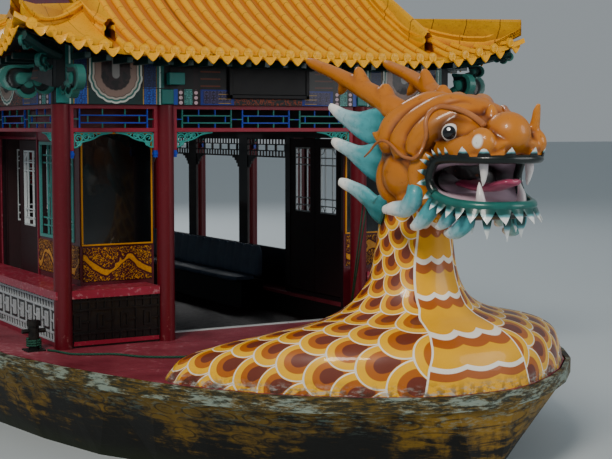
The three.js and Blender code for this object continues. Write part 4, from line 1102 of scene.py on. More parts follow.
# %% Small flames round the lips
# Columns: place on the loop (in points of the starboard table), length, width, lean out.
FRINGE = [
    (0.7, .075, .105, .25), (2.0, .080, .110, .25), (3.1, .080, .110, .25), (4.0, .075, .045, .35),
    (4.42, .075, .040, .35), (4.78, .075, .040, .35), (5.10, .075, .042, .4),
    (5.45, .085, .055, .5), (6.25, .070, .060, .5), (7.1, .070, .060, .5), (8.1, .075, .065, .5),
    (8.75, .095, .070, .5), (9.3, .100, .075, .5), (9.85, .105, .080, .5), (10.4, .110, .085, .5),
    (11.0, .120, .120, .5), (11.65, .125, .130, .5), (12.35, .130, .135, .5),
    (13.0, .120, .120, .5),
]
# Flames that hang from the chin. Columns: x, y, z, width, length.
CHIN_TUFT = [
    (3.93, -.17, 1.42, .10, .16), (3.99, -.02, 1.43, .09, .19), (3.95, .15, 1.42, .10, .16),
    (3.80, -.22, 1.41, .08, .12), (3.80, .22, 1.41, .08, .12),
]


# %% A small flame and its places
def small_flame():
    """A leaf one unit long and wide: a domed triangle that ends in a point at +Y."""
    def place(u, v):
        side, curl = 2 * u - 1, v * v
        width = (1 - v ** 1.4) * 0.5
        return Vector((side * width, v, 0.16 * (1 - side * side) * (1 - v) + 0.10 * curl))
    leaf = surface("lip_flames", 8, 8, place)
    modify(leaf, "SOLIDIFY", thickness=0.10, offset=-1)
    apply_modifiers(leaf)
    return smooth(clean(leaf, 1e-5), 60)


def fringe_places():
    places = []
    for at, length, width, lean in FRINGE:
        t = at / len(lip_loop)
        point = on_loop(lip_loop, t)
        along = (on_loop(lip_loop, t + 0.004) - on_loop(lip_loop, t - 0.004)).normalized()
        away = Vector((0.5, -1.0, 0)) if at > 3 else Vector((1.0, -0.5 * at, 0))
        away = (away - along * away.dot(along)).normalized()
        outward = away.cross(along).normalized()
        if outward.dot(point - Vector((3.80, point.y, 1.71))) < 0:
            outward = -outward
        tip = (outward + away * lean).normalized()
        face = (away - tip * away.dot(tip)).normalized()
        side = tip.cross(face).normalized()
        turn = Matrix((side * width, tip * length, face * 0.06)).transposed().to_4x4()
        root = point + outward * 0.020 + away * 0.026
        if at > LIP_CORNER:
            root.z -= LIP_DROP
        places.append(Matrix.Translation(root) @ turn)
        places.append(TO_PORT @ places[-1])
    for x, y, z, width, length in CHIN_TUFT:
        turn = Matrix(((0, 0, 0.05), (width, 0, 0), (0, -length, 0))).to_4x4()
        places.append(Matrix.Translation((x, y, z)) @ turn)
    return places


fringe = copies("lip_flames", small_flame(), fringe_places())


def fringe_finish():
    paint = Finish("lip_flame_paint", Roughness=0.35, Coat_Weight=0.25)
    _, v = paint.uv()
    cloud = paint.noise(18.0, 4.0)
    upper = paint.xyz()[2].past(2.60, 0.10)
    tone = paint.mix((v + cloud * 0.2).past(0.50, 0.16), paint.mix(upper, "0d4743", "070d0c"),
                     "5f9aa2")
    tone = paint.mix((v + cloud * 0.15).past(0.62, 0.12), tone, "e4e8e6")
    return paint.done(tone, 0.35, cloud, 0.15, 0.002)


settle(fringe, fringe_finish())

# %% Fangs, tongue and eyes
FANGS = [
    [(3.945, -.225, 1.90, .042), (3.955, -.225, 1.80, .034), (3.945, -.22, 1.72, .020),
     (3.935, -.22, 1.675, .004)],
    [(3.89, -.20, 1.53, .044), (3.885, -.205, 1.60, .034), (3.87, -.20, 1.66, .020),
     (3.865, -.20, 1.705, .004)],
]
TONGUE = [
    (3.36, 0, 1.68, .26, .06), (3.50, 0, 1.675, .27, .07), (3.65, 0, 1.655, .27, .075),
    (3.80, 0, 1.660, .26, .075), (3.94, 0, 1.690, .23, .070), (4.03, 0, 1.705, .17, .060),
    (4.06, 0, 1.705, .08, .035),
]


def tongue_section(u):
    angle = 2 * math.pi * u
    groove = 0.35 * math.exp(-(math.cos(angle) / 0.22) ** 2) if math.sin(angle) > 0 else 0
    return math.cos(angle), math.sin(angle) * (1 - groove)


fangs = joined("fangs", [smooth(fang) for fang in both_sides(
    [rod("fang", rows, sides=14) for rows in FANGS])])


def fang_finish():
    paint = Finish("fang_white", Roughness=0.3, Coat_Weight=0.3)
    z = paint.xyz()[2]
    near_root = paint.noise(9.0) * 0.4 + (z - 2.56).size() * 3.2
    tone = paint.mix(near_root, "f1efe8", "b9a9b4")
    return paint.done(tone, 0.3, paint.noise(30.0), 0.1, 0.002)


def tongue_finish():
    paint = Finish("tongue_pink", Roughness=0.3, Coat_Weight=0.35)
    tone = paint.mix(paint.noise(10.0, 4.0), "7d1f3e", "b04a6a")
    return paint.done(tone, 0.3, paint.noise(34.0), 0.25, 0.003)


settle(fangs, fang_finish())
settle(limb("tongue_painted", TONGUE, 28, 30, tongue_section), tongue_finish(),
       replaces=["tongue"])

EYE_AT, EYE_R = Vector((3.645, -0.315, 2.088)), 0.074
GAZE = Vector((0.62, -0.78, 0.02)).normalized()


def eyeball(side, word):
    at = Vector((EYE_AT.x, EYE_AT.y * side, EYE_AT.z))
    gaze = Vector((GAZE.x, GAZE.y * side, GAZE.z))
    eye = ball("eyeball_" + word, at, (EYE_R, EYE_R, EYE_R), segments=40, rings=24)
    ways = [(v.co - at).normalized() for v in eye.data.vertices]
    # The glint marks where a painted highlight sits, above and a little off the gaze.
    glint = (gaze + Vector((-0.03, 0.02 * side, 0.40))).normalized()
    for mark, middle in (("gaze", gaze), ("glint", glint)):
        paint_on(eye, mark, [math.acos(max(-1, min(1, way.dot(middle)))) for way in ways])
    return smooth(eye)


def eye_finish():
    paint = Finish("eye_paint", Roughness=0.12, Coat_Weight=0.6)
    gaze = paint.stored("gaze")
    tone = paint.mix(gaze.past(0.70, 0.05), "0b0d12", "26323c")
    # The white glint is a painted highlight.
    tone = paint.coats(
        tone,
        (gaze.past(0.84, 0.05), "e9e7e0"),
        (1 - paint.stored("glint").past(0.20, 0.06), "ffffff"))
    return paint.done(tone, 0.12, paint.noise(10.0), 0.02, 0.002)


glossy_eye = eye_finish()
for side, word in SIDES:
    settle(eyeball(side, word), glossy_eye, replaces=["eye_" + word])

# %% Whiskers
# Columns: x, y, z, radius. The first points are laid on the head's own skin.
ON_HEAD = 9
WHISKER = [
    (3.90, -.165, 2.10, .026), (3.86, -.180, 2.16, .026), (3.80, -.195, 2.21, .024),
    (3.67, -.225, 2.262, .023), (3.56, -.265, 2.270, .021), (3.475, -.31, 2.245, .020),
    (3.445, -.365, 2.168, .019), (3.465, -.42, 2.057, .018), (3.485, -.46, 1.975, .017),
    (3.430, -.495, 1.893, .016), (3.336, -.515, 1.885, .015), (3.221, -.515, 1.918, .014),
    (3.103, -.515, 1.986, .013), (3.006, -.53, 2.02, .012), (2.919, -.54, 1.998, .011),
    (2.83, -.55, 1.926, .009), (2.75, -.55, 1.882, .006),
]


def whisker_finish():
    paint = Finish("whisker_brown", Roughness=0.35, Coat_Weight=0.3)
    tone = paint.mix(paint.noise(6.0, 4.0), "8a4a1c", "b97a4a")
    return paint.done(tone, 0.35, paint.noise(30.0), 0.15, 0.002)


whisker_brown = whisker_finish()
for side, word in SIDES:
    line = []
    for i, (x, y, z, radius) in enumerate(WHISKER):
        point = Vector((x, y * side, z))
        if i < ON_HEAD:
            _, on_head, way, _ = head.closest_point_on_mesh(point + DATUM)
            point = on_head + way * radius * 0.7 - DATUM
        line.append(point)
    whisker = tube("whisker_painted_" + word, line, [r[3] for r in WHISKER], 12, 6)
    settle(smooth(whisker), whisker_brown, replaces=["whisker_" + word])

# %% [markdown]
# ## Tiled roofs
#
# Each pavilion has a roof with a gable above and a skirt of lower slopes round it, all hollow
# curves with lifted corners. A tiler lays pans first and then a row of barrel tiles over every
# joint, so the roof is one thin curved sheet with half-round rows on top. Every row follows the
# sheet's own height, which one function gives for any point. At the eave each barrel ends in a
# round disc, and each pan in a pointed drip plate.

# %% The roof's sheet
EAVE_Z, HALF_X, HALF_Y, GABLE_Y = 2.85, 1.935, 2.72, 1.88
ROOF_MIDDLES = {"fore": -PAVILION / 2, "aft": -CABIN + PAVILION / 2}
CORNER_OUT, CORNER_UP = 0.15, 0.27
PITCH_Y, PITCH_X = 0.1567, 0.1613
BARREL_R, BARREL_SUNK = 0.046, 0.014


def slope(inward):
    share = inward / HALF_X
    return 1.25 * (0.55 * share + 0.45 * share * share)


def corner_share(x, y):
    return (abs(x) / HALF_X) ** 4 * (abs(y) / HALF_Y) ** 6


def roof_point(x, y, over=0.0):
    """The sheet's top above x, y of a pavilion's middle, corners drawn out and up."""
    rise = slope(HALF_X - abs(x))
    if abs(y) > GABLE_Y:
        rise = min(rise, slope(HALF_Y - abs(y)))
    corner = corner_share(x, y)
    out = corner * CORNER_OUT
    return Vector((x + math.copysign(out, x), y + math.copysign(out, y),
                   EAVE_Z + rise + corner * CORNER_UP + over))


def sheet_part(name, x_range, y_range, across, along):
    part = surface(name, across, along,
                   lambda u, v: roof_point(between(*x_range, u), between(*y_range, v), -0.012))
    modify(part, "SOLIDIFY", thickness=0.05, offset=-1)
    apply_modifiers(part)
    return part


def roof_sheet(name):
    middle = sheet_part(name, (-HALF_X, HALF_X), (-GABLE_Y, GABLE_Y), 48, 20)
    skirts = [sheet_part("skirt", (-HALF_X, HALF_X),
                         (side * (GABLE_Y + 1e-4), side * HALF_Y), 48, 14)
              for side in (1, -1)]
    for part in (middle, *skirts):
        clean(part, gap=0)
    return smooth(joined(name, [middle, *skirts]), 40)


# %% Barrel rows, discs and drips
def rows_of_roof():
    """Each row as a line on the sheet from the eave up, with the way it faces at the eave."""
    rows = []
    count = round(2 * GABLE_Y / PITCH_Y)
    for i in range(1, count):
        y = -GABLE_Y + i * PITCH_Y
        for end in (1, -1):
            rows.append([(end * (HALF_X - s), y) for s in np.linspace(0.0, HALF_X - 0.06, 15)])
    for y in np.arange(GABLE_Y + PITCH_Y / 2, HALF_Y - 0.12, PITCH_Y):
        for side in (1, -1):
            for end in (1, -1):
                line = np.linspace(0, HALF_Y - y - 0.06, 6)
                rows.append([(end * (HALF_X - s), side * y) for s in line])
    count = round(2 * HALF_X / PITCH_X)
    for i in range(1, count):
        x = -HALF_X + i * PITCH_X
        reach = min(HALF_X - abs(x), HALF_Y - GABLE_Y) - 0.05
        if reach > 0.10:
            for side in (1, -1):
                rows.append([(x, side * (HALF_Y - s)) for s in np.linspace(0, reach, 8)])
    return rows


def barrel(row):
    line = [roof_point(x, y) for x, y in row]
    length = sum((b - a).length for a, b in zip(line, line[1:]))
    side = Vector((0, 0, 1)).cross(line[1] - line[0]).normalized()

    def place(u, v):
        point, _ = on_line(line, v)
        angle = math.pi * u
        rise = math.sin(angle) * BARREL_R - BARREL_SUNK
        return point + side * (math.cos(angle) * BARREL_R) + Vector((0, 0, rise))
    piece = surface("barrel", 6, len(line) - 1, place)
    for spot in piece.data.uv_layers.active.data:
        spot.uv.y *= length
    return piece


def eave_end(row):
    """The place of the disc that closes a barrel at the eave. The drip plate is set from it."""
    edge, inner = roof_point(*row[0]), roof_point(*row[1])
    out = Vector((edge.x - inner.x, edge.y - inner.y, 0)).normalized()
    side = Vector((-out.y, out.x, 0))
    turn = Matrix((side, Vector((0, 0, 1)), out)).transposed().to_4x4()
    return Matrix.Translation(edge + out * 0.012 + Vector((0, 0, 0.006))) @ turn


def disc_model():
    deselect()
    bpy.ops.mesh.primitive_cylinder_add(vertices=14, radius=BARREL_R + 0.006, depth=0.024)
    disc = named("eave_discs")
    bpy.ops.object.mode_set(mode="EDIT")
    bpy.ops.mesh.select_all(action="DESELECT")
    bpy.ops.object.mode_set(mode="OBJECT")
    for face in disc.data.polygons:
        face.select = face.normal.z > 0.9
    bpy.ops.object.mode_set(mode="EDIT")
    bpy.ops.mesh.inset(thickness=0.009)
    bpy.ops.transform.translate(value=(0, 0, -0.004))
    bpy.ops.mesh.inset(thickness=0.016)
    bpy.ops.transform.translate(value=(0, 0, 0.006))
    bpy.ops.object.mode_set(mode="OBJECT")
    return smooth(disc, 50)


def drip_model():
    half = PITCH_Y / 2

    def place(u, v):
        x = (u - 0.5) * 2 * (half - 0.004)
        top = -0.012 - 0.020 * (1 - (2 * u - 1) ** 2)
        drop = 0.018 + 0.062 * (1 - abs(2 * u - 1) ** 1.3)
        return Vector((x, top - v * drop, 0.010 + 0.020 * v))
    drip = surface("drip_plates", 8, 3, place)
    modify(drip, "SOLIDIFY", thickness=0.010, offset=0)
    apply_modifiers(drip)
    return smooth(clean(drip), 50)


roof_rows = rows_of_roof()
print("barrel rows on each pavilion:", len(roof_rows))


# %% Ridges on the roofs
# One side of a ridge bar seen from its end. Columns: share of its half width, of its height.
RIDGE_SIDE = [
    (-1.0, -0.3), (-1.0, 0.25), (-0.72, 0.36), (-0.72, 0.52), (-0.95, 0.60), (-0.95, 0.74),
    (-0.55, 0.84), (-0.42, 0.97),
]
RIDGE_PROFILE = [*RIDGE_SIDE, (0.0, 1.0), *[(-x, z) for x, z in reversed(RIDGE_SIDE)]]


def ridge(name, line, half, height, tip=0.0):
    """A moulded ridge bar that follows the sheet. Columns of the line: x, y."""
    points, last = [roof_point(x, y) for x, y in line], len(RIDGE_PROFILE) - 1

    def place(u, v):
        point, i = on_line(points, v)
        ahead = points[i + 1] - points[i]
        side = Vector((-ahead.y, ahead.x, 0)).normalized()
        out, up = RIDGE_PROFILE[round(u * last)]
        lift = tip * max(0, (v - 0.75) / 0.25) ** 2
        return point + side * (out * half) + Vector((0, 0, up * height * (1 + 0.1 * v) + lift))
    piece = surface(name, last, len(points) - 1, place)
    return smooth(clean(piece, gap=0, closed=True), 30)


def roof_ridges():
    parts = []
    for sx in (1, -1):
        for sy in (1, -1):
            down = [(sx * between(0.02, HALF_X - 0.20, t / 12), sy * (GABLE_Y - 0.055))
                    for t in range(13)]
            parts.append(ridge("hanging_ridge", down, 0.055, 0.145, 0.05))
            hip = [(sx * between(1.115, HALF_X - 0.015, t / 8),
                    sy * between(1.90, HALF_Y - 0.015, t / 8))
                   for t in range(9)]
            parts.append(ridge("corner_ridge", hip, 0.050, 0.120, 0.07))
    return joined("roof_ridges", parts)


# %% Glaze, and both roofs
def roof_finish(name, along):
    """Yellow glaze, with a dark joint between tiles wherever `along` passes a tile's length, and
    painted shade in the pans between the barrels.
    """
    paint = Finish(name, Roughness=0.3, Coat_Weight=0.12)
    joint = ((along(paint) * 3.6).part() - 0.5).size().past(0.485, 0.01)
    glaze = paint.noise(3.0, 5.0)
    tone = paint.mix(glaze, "d89400", "f4b400")
    tone = paint.coats(
        tone,
        (paint.noise(40.0, 3.0).past(0.62, 0.06) * 0.4, "a05c04"),
        (paint.stored("valley_shade") * 0.85, "b45c00"),
        (joint * 0.75, "6a3804"))
    return paint.done(tone, 0.34 + 0.16 * glaze, glaze - joint * 0.6, 0.25, 0.004)


glazed = roof_finish("glazed_tiles", lambda paint: paint.uv()[1])
glazed_ridge = roof_finish("glazed_ridges", lambda paint: paint.xyz()[1])
for end, middle in ROOF_MIDDLES.items():
    sheet = roof_sheet(f"roof_{end}_sheet")
    barrels = smooth(joined("barrels", [barrel(row) for row in roof_rows]))
    ends = [eave_end(row) for row in roof_rows]
    discs = copies("discs", disc_model(), ends)
    drips = copies("drips", drip_model(),
                   [at @ placed((PITCH_Y / 2, -0.004, -0.012)) for at in ends])
    tiled = joined(f"roof_{end}_tiles", [sheet, barrels, discs, drips, roof_ridges()])
    x, y, z = points_of(tiled).T
    # Painted shade: darker orange on the pans and the barrels' flanks, fading out towards their
    # crests.
    over = z - np.array([roof_point(*at).z for at in zip(x, y)])
    inboard = (np.abs(x) < HALF_X - 0.01) & (np.abs(y) < HALF_Y - 0.01)
    paint_on(tiled, "valley_shade", ramp(over, 0.016, -0.028) * inboard)
    tiled.data.transform(placed((middle, 0, 0)))
    settle(tiled, glazed, replaces=["roof_" + end])

# %% [markdown]
# ## Pillars, beams and friezes
#
# A carpenter sets round pillars at every bay and lays painted beams on them. Under each beam hangs
# a frieze: two crimson rails and two short posts that end in blue drops, with a lattice of thin
# laths between, and scrolled brackets in the corners below. All of it repeats from bay to bay, so
# one table lists the bays, and each kind of part is gathered from all of them into one mesh.

# %% The bays
PILLARS_X = [0.0, *[-PAVILION - i * BAY for i in range(6)], -CABIN]
CLEAR = PILLAR_R - 0.006
# Columns: axis the bay runs along, its fixed other coordinate, start, end, lattice motifs.
BAYS = []
for face in (0.0, -CABIN):
    BAYS.append(("y", face, -PORTAL_Y + CLEAR, PORTAL_Y - CLEAR, 3))
    for side in (1, -1):
        BAYS.append(("y", face, side * (PORTAL_Y + CLEAR), side * (PILLAR_Y - CLEAR), 1))
for side in (1, -1):
    for fore, aft in zip(PILLARS_X, PILLARS_X[1:]):
        BAYS.append(("x", side * PILLAR_Y, fore - CLEAR, aft + CLEAR, 3 if fore - aft > 2 else 2))


def bay_box(axis, fixed, s0, s1, z0, z1, depth):
    """A box along a bay: from s0 to s1 and z0 to z1, and of a half depth about its line."""
    if axis == "y":
        return (fixed - depth, s0, z0), (fixed + depth, s1, z1)
    return (s0, fixed - depth, z0), (s1, fixed + depth, z1)


def outward(axis, fixed):
    """1 where the boat's outside is towards the bow or port of a bay, and -1 where it is not."""
    return 1 if fixed > (-CABIN / 2 if axis == "y" else 0) else -1


# Heights of a frieze's parts, from and to. Then a post's width and the gap beside a motif.
TOP_RAIL, FOOT_RAIL, POSTS = (2.31, 2.352), (2.085, 2.125), (1.905, 2.33)
DROPS, NECKS = (1.835, 1.905), (1.860, 1.885)
POST, MOTIF_GAP = 0.042, 0.065
bars = {"rail": [], "blue": [], "teal": []}
for axis, fixed, start, end, motifs in BAYS:
    way = 1 if end > start else -1
    width = abs(end - start)

    def add(kind, s0, s1, z0, z1, depth):
        bars[kind].append(bay_box(axis, fixed, start + way * s0, start + way * s1, z0, z1, depth))

    def upright(kind, s, z0, z1, depth=0.008, half=0.005):
        add(kind, s - half, s + half, z0, z1, depth)

    for heights in (TOP_RAIL, FOOT_RAIL):
        add("rail", 0, width, *heights, 0.022)
    for s in (POST / 2, width - POST / 2):
        upright("rail", s, *POSTS, 0.0215, 0.021)
        upright("blue", s, *DROPS, 0.018, 0.018)
        upright("blue", s, *NECKS, 0.023, 0.023)
    foot, top = FOOT_RAIL[1], TOP_RAIL[0]
    span = (width - 2 * POST) / motifs
    for k in range(motifs):
        middle = POST + span * (k + 0.5)
        half = span * 0.5 - MOTIF_GAP
        main, other = ("blue", "teal") if (k + motifs) % 2 == 0 or motifs == 1 else ("teal", "blue")
        for z in (2.247, 2.175):
            add(main, middle - half, middle + half, z - 0.006, z + 0.006, 0.009)
        for s in (-half, half):
            upright(main, middle + s, foot, top, 0.009, 0.006)
            edge = middle + s * (1 + MOTIF_GAP / half)
            low, high = sorted((middle + s, edge))
            add(other, low, high, 2.206, 2.216, 0.008)
        for s in (-half / 3, half / 3):
            upright(other, middle + s, 2.25, top)
            upright(other, middle + s, foot, 2.17)
        for s in (-half * 0.76, half * 0.76):
            upright(other, middle + s, 2.18, 2.245)
print("bays:", len(BAYS), "laths:", {kind: len(boxes) for kind, boxes in bars.items()})


# %% Pillars and laths
def pillar_model():
    deselect()
    bpy.ops.mesh.primitive_cylinder_add(vertices=32, radius=PILLAR_R, depth=BEAM_UNDER,
                                        location=(0, 0, BEAM_UNDER / 2))
    return smooth(named("pillars"), 40)


def lacquer(name, dark, light, worn="8a5a58", amount=0.5):
    paint = Finish(name, Roughness=0.32, Coat_Weight=0.1)
    streaks = paint.noise(3.0, 5.0, 0.6, paint.stretched((1.6, 1.6, 0.25)))
    tone = paint.mix(streaks, dark, light)
    z = paint.xyz()[2]
    chips = paint.noise(22.0, 6.0).past(0.64, 0.05)
    low = 1 - z.past(1.15, 0.25)
    tone = paint.mix((chips * (low * 0.8 + 0.12)) * amount, tone, worn)
    return paint.done(tone, 0.26 + 0.25 * streaks, streaks + chips * 0.3, 0.2, 0.004)


pillar_red = lacquer("pillar_lacquer", "450310", "68091a")
crimson = lacquer("crimson_rails", "6e0e22", "8c1c34")
lath_blue = lacquer("blue_laths", "06268a", "0b3fb8", "3a4f80", 0.6)
lath_teal = lacquer("teal_laths", "0b5a55", "16807a", "4a7a76", 0.6)
places = [placed((x, side * PILLAR_Y, 0)) for x in PILLARS_X for side in (1, -1)]
places += [placed((x, side * PORTAL_Y, 0)) for x in (0, -CABIN) for side in (1, -1)]
settle(copies("pillars", pillar_model(), places), pillar_red,
       replaces=["colonnade_port", "colonnade_starboard", "portal_fore", "portal_aft"])
settle(timbers("frieze_rails", bars["rail"], 0.003), crimson)
settle(timbers("blue_laths", bars["blue"], 0), lath_blue)
settle(timbers("teal_laths", bars["teal"], 0), lath_teal)

# %% Scrolled brackets
SCROLL_RINGS = [
    (0.052, -0.060, 0.040), (0.128, -0.044, 0.030), (0.186, -0.034, 0.022), (0.060, -0.112, 0.020),
]
SCROLL_WAVE = [
    (0.006, -0.150), (0.040, -0.142), (0.088, -0.098), (0.150, -0.082), (0.210, -0.062),
    (0.270, -0.030), (0.340, -0.014), (0.395, -0.006),
]
CURL_ANGLES = (0.3, 1.5, 2.7, 3.9, 5.1)
SCROLL_CURL = [(0.230, -0.010), (0.252, -0.036), (0.282, -0.022), (0.300, -0.006)]


def scroll_model():
    parts = []
    for x, z, r in SCROLL_RINGS:
        spiral = [r * 0.55 * (1 - a / 9) for a in CURL_ANGLES]
        deselect()
        bpy.ops.mesh.primitive_torus_add(
            location=(x, 0, z), rotation=(math.pi / 2, 0, 0), major_segments=14,
            minor_segments=5, major_radius=r, minor_radius=0.0075)
        parts.append(named("ring"))
        bpy.ops.object.transform_apply()
        arc = [(x + reach * math.cos(a), 0, z + reach * math.sin(a))
               for a, reach in zip(CURL_ANGLES, spiral)]
        parts.append(tube("curl", arc, [0.006] * 5, 5, 2))
    for line, r in ((SCROLL_WAVE, 0.0085), (SCROLL_CURL, 0.007)):
        parts.append(tube("wave", [(x, 0, z) for x, z in line], [r] * len(line), 6, 3))
    edges = [((0.0, -0.008, -0.155), (0.012, 0.008, 0.0)), ((0, -0.008, -0.012), (0.40, 0.008, 0))]
    parts.append(timbers("edge", edges, 0))
    return smooth(joined("scroll_brackets", parts), 50)


places = []
for axis, fixed, start, end, _ in BAYS:
    way = 1 if end > start else -1
    for s, turn in ((start + way * POST, way), (end - way * POST, -way)):
        at, angle = ((fixed, s), math.pi / 2) if axis == "y" else ((s, fixed), 0)
        places.append(placed((*at, FOOT_RAIL[0]), angle, (turn, 1, 1)))
scroll_teal = lacquer("scroll_paint", "12706e", "3aa79e", "d5e2da", 0.9)
settle(copies("scroll_brackets", scroll_model(), places), scroll_teal)

# %% [markdown]
# ## Painted beams
#
# Such beams are painted from end to end: key patterns in blue, teal fields, rows of white dots, and
# a scalloped half-round in the middle of a short bay. The ornament is old and common, so it is
# rebuilt here from squares and rings. Each painted face is a thin plate whose UV map gives the
# distance from the bay's middle, as a share of half the bay, and the height in metres.

# %% Beams and their painted faces
BEAM_TOP, SALOON_BEAM_TOP = 2.985, 2.4985
# Half the beam's thickness, and how far out its painted face and what is set on it stand.
THICK, FACE_OUT, ON_FACE = 0.06, 0.0635, 0.064
beam_boxes = []
for x in (-CABIN, 0.0):
    beam_boxes.append(((x - THICK, -PILLAR_Y - THICK, BEAM_UNDER),
                       (x + THICK, PILLAR_Y + THICK, BEAM_TOP)))
for y in (PILLAR_Y, -PILLAR_Y):
    for far, near, top in ((-PAVILION - THICK, -THICK, BEAM_TOP),
                           (-CABIN + THICK, -CABIN + PAVILION + THICK, BEAM_TOP),
                           (-CABIN + PAVILION + THICK, -PAVILION - THICK, SALOON_BEAM_TOP)):
        beam_boxes.append(((far, y - THICK, BEAM_UNDER), (near, y + THICK, top)))


def face_plate(axis, fixed, start, end, z0, z1):
    """A painted face on a beam, one plate for a bay. U is -1 to 1 along it, V its height."""
    out = outward(axis, fixed)
    low, high = sorted((start, end))

    def place(u, v):
        along, z = between(low, high, u), between(z0, z1, v)
        off = fixed + out * FACE_OUT
        return Vector((off, along, z)) if axis == "y" else Vector((along, off, z))
    plate = surface("beam_face", 1, 1, place)
    for spot in plate.data.uv_layers.active.data:
        spot.uv = (spot.uv.x * 2 - 1, between(z0, z1, spot.uv.y) - BEAM_UNDER)
    modify(plate, "SOLIDIFY", thickness=0.003, offset=0)
    apply_modifiers(plate)
    return clean(plate, 1e-5)


short_faces, long_faces = [], []
for axis, fixed, start, end, _ in BAYS:
    way = 1 if end > start else -1
    pavilion = (axis == "y" or max(start, end) > -PAVILION - 0.2
                or min(start, end) < -CABIN + PAVILION - 0.2)
    top = BEAM_TOP if pavilion else SALOON_BEAM_TOP
    plate = face_plate(axis, fixed, start - way * 0.05, end + way * 0.05, BEAM_UNDER + 0.004,
                       top - 0.002)
    (long_faces if abs(end - start) > 2 else short_faces).append(plate)


# %% The painters' patterns
def fret(along, up, cell):
    """Square rings in square cells, as a key pattern."""
    a = ((along / cell).part() - 0.5).size()
    b = ((up / cell).part() - 0.5).size()
    squares = (a.higher(b) * 5.0).part().within(0.30, 0.80, 0.06)
    return squares * (1 - a.within(0.0, 0.07, 0.02) * b.past(0.12, 0.02))


# %% The finish of a painted bay
def beam_finish(name, long_bay):
    paint = Finish(name, Roughness=0.42, Coat_Weight=0.15)
    u, v = paint.uv()
    x, y, z = paint.xyz()
    side = u.size()
    keys = fret(x + y, v + 0.002, 0.078)
    line = v.within(0.158, 0.166, 0.002)
    lower = 1 - v.past(0.16, 0.002)
    cloud = paint.noise(10.0, 3.0)
    swirl = (cloud * 9.0).part().within(0.30, 0.62, 0.06)
    if long_bay:
        tone = paint.mix(swirl * (1 - side.past(0.36, 0.02)), "070a0c", "8a3208")
        frame = side.within(0.36, 0.70, 0.006)
        inner = side.within(0.39, 0.67, 0.006) * v.within(0.018, 0.145, 0.004)
        tone = paint.coats(
            tone,
            (frame * lower, "0a2a86"),
            (inner, "160d1c"),
            (inner * keys, "4a4478"))
        gold = ((v * 22.0).part().within(0.40, 0.56, 0.05)) * inner * (1 - side.past(0.52, 0.01))
        tone = paint.mix(gold, tone, "a8862a")
        for low, high in ((0.72, 0.77), (0.87, 0.92)):
            a = (side - (low + high) / 2) * 20.0
            b = (v / 0.05).part() - 0.5
            dot = 1 - (a * a + b * b).root().past(0.36, 0.06)
            band = side.within(low, high, 0.004)
            tone = paint.coats(tone, (band, "1a0c10"), (band * dot * lower, "d9b9c2"))
        teal = side.within(0.78, 0.86, 0.004)
        tone = paint.coats(
            tone,
            (teal * lower, "0d5a58"),
            (teal * keys * lower, "5ea9a2"),
            (side.within(0.925, 0.965, 0.004) * lower, "1746a8"))
        brick = (z * 14.0).part().within(0.4, 0.6, 0.08) * side.within(0.50, 0.70, 0.01)
        brick = brick * (1 - lower)
        tone = paint.mix(brick * 0.8, tone, "6a2c10")
    else:
        field = 1 - side.past(0.58, 0.006)
        tone = paint.mix(field * lower, "06090b", "07302f")
        edge = side.within(0.555, 0.575, 0.004) + side.within(0.83, 0.85, 0.004)
        key_zone = side.within(0.58, 0.83, 0.004)
        tone = paint.coats(
            tone,
            (key_zone, "0a1f6e"),
            (key_zone * keys, "2d62c8"),
            (edge, "b08a2c"))
        cap = side.past(0.85, 0.004)
        tone = paint.coats(tone, (cap, "0d5c58"), (side.within(0.90, 0.93, 0.004), "b9d6cf"))
        upper = v.past(0.17, 0.003) * (1 - cap)
        tone = paint.mix(upper * 0.8, tone, "06090b")
    tone = paint.coats(
        tone,
        (line, "020303"),
        (paint.noise(30.0, 5.0).past(0.60, 0.08) * 0.4, "0b1012"))
    return paint.done(tone, 0.4 + 0.2 * cloud, cloud, 0.15, 0.003)


def timber_finish(name, dark, light):
    paint = Finish(name, Roughness=0.5)
    grain = paint.noise(4.0, 6.0, 0.65, paint.stretched((0.6, 3.0, 3.0)))
    tone = paint.mix(grain, dark, light)
    return paint.done(tone, 0.45 + 0.2 * grain, grain, 0.25, 0.003)


dark_timber = timber_finish("dark_beams", "0a0f12", "161e22")
settle(timbers("beams", beam_boxes, 0.003), dark_timber)
for length, faces in (("short", short_faces), ("long", long_faces)):
    settle(smooth(joined(length + "_beam_faces", faces), 30),
           beam_finish(f"painted_{length}_bays", length == "long"))


# %% Scalloped half-rounds on the beams
def half_round(radius, straight, lobes=9):
    """A hanging half disc with a scalloped edge. U is 0 at its middle and 1 at its edge."""
    def place(u, v):
        angle = math.pi * u
        scallop = 1 + 0.035 * abs(math.sin(lobes * angle))
        out = radius * v * scallop
        return Vector((math.cos(angle) * out, 0.004 + 0.006 * (1 - v), -math.sin(angle) * out))
    piece = surface("beam_rounds", 54, 12, place)
    top = surface("round_top", 12, 4,
                  lambda u, v: Vector(((u * 2 - 1) * radius, 0.006, straight * v)))
    for part, flat in ((piece, False), (top, True)):
        for spot in part.data.uv_layers.active.data:
            ring = abs(spot.uv.x * 2 - 1) if flat else spot.uv.y
            spot.uv = (ring, spot.uv.x)
    return smooth(joined("beam_rounds", [piece, top]), 60)


def rounds_finish():
    paint = Finish("painted_rounds", Roughness=0.4, Coat_Weight=0.2)
    ring = paint.uv()[0]
    cloud = paint.noise(14.0, 4.0)
    tone = paint.mix(cloud.past(0.5, 0.1), "0b0a0c", "2c1c1e")
    centre = 1 - ring.past(0.14, 0.03)
    tone = paint.coats(
        tone,
        (centre, "8a8a88"),
        (ring.within(0.55, 0.78, 0.04) * cloud.past(0.35, 0.1), "8d7468"),
        (ring.within(0.80, 0.87, 0.015), "b9b2a6"),
        (ring.within(0.87, 0.93, 0.012), "1d6a62"),
        (ring.past(0.935, 0.012), "c9cfc6"))
    return paint.done(tone, 0.4, cloud, 0.15, 0.003)


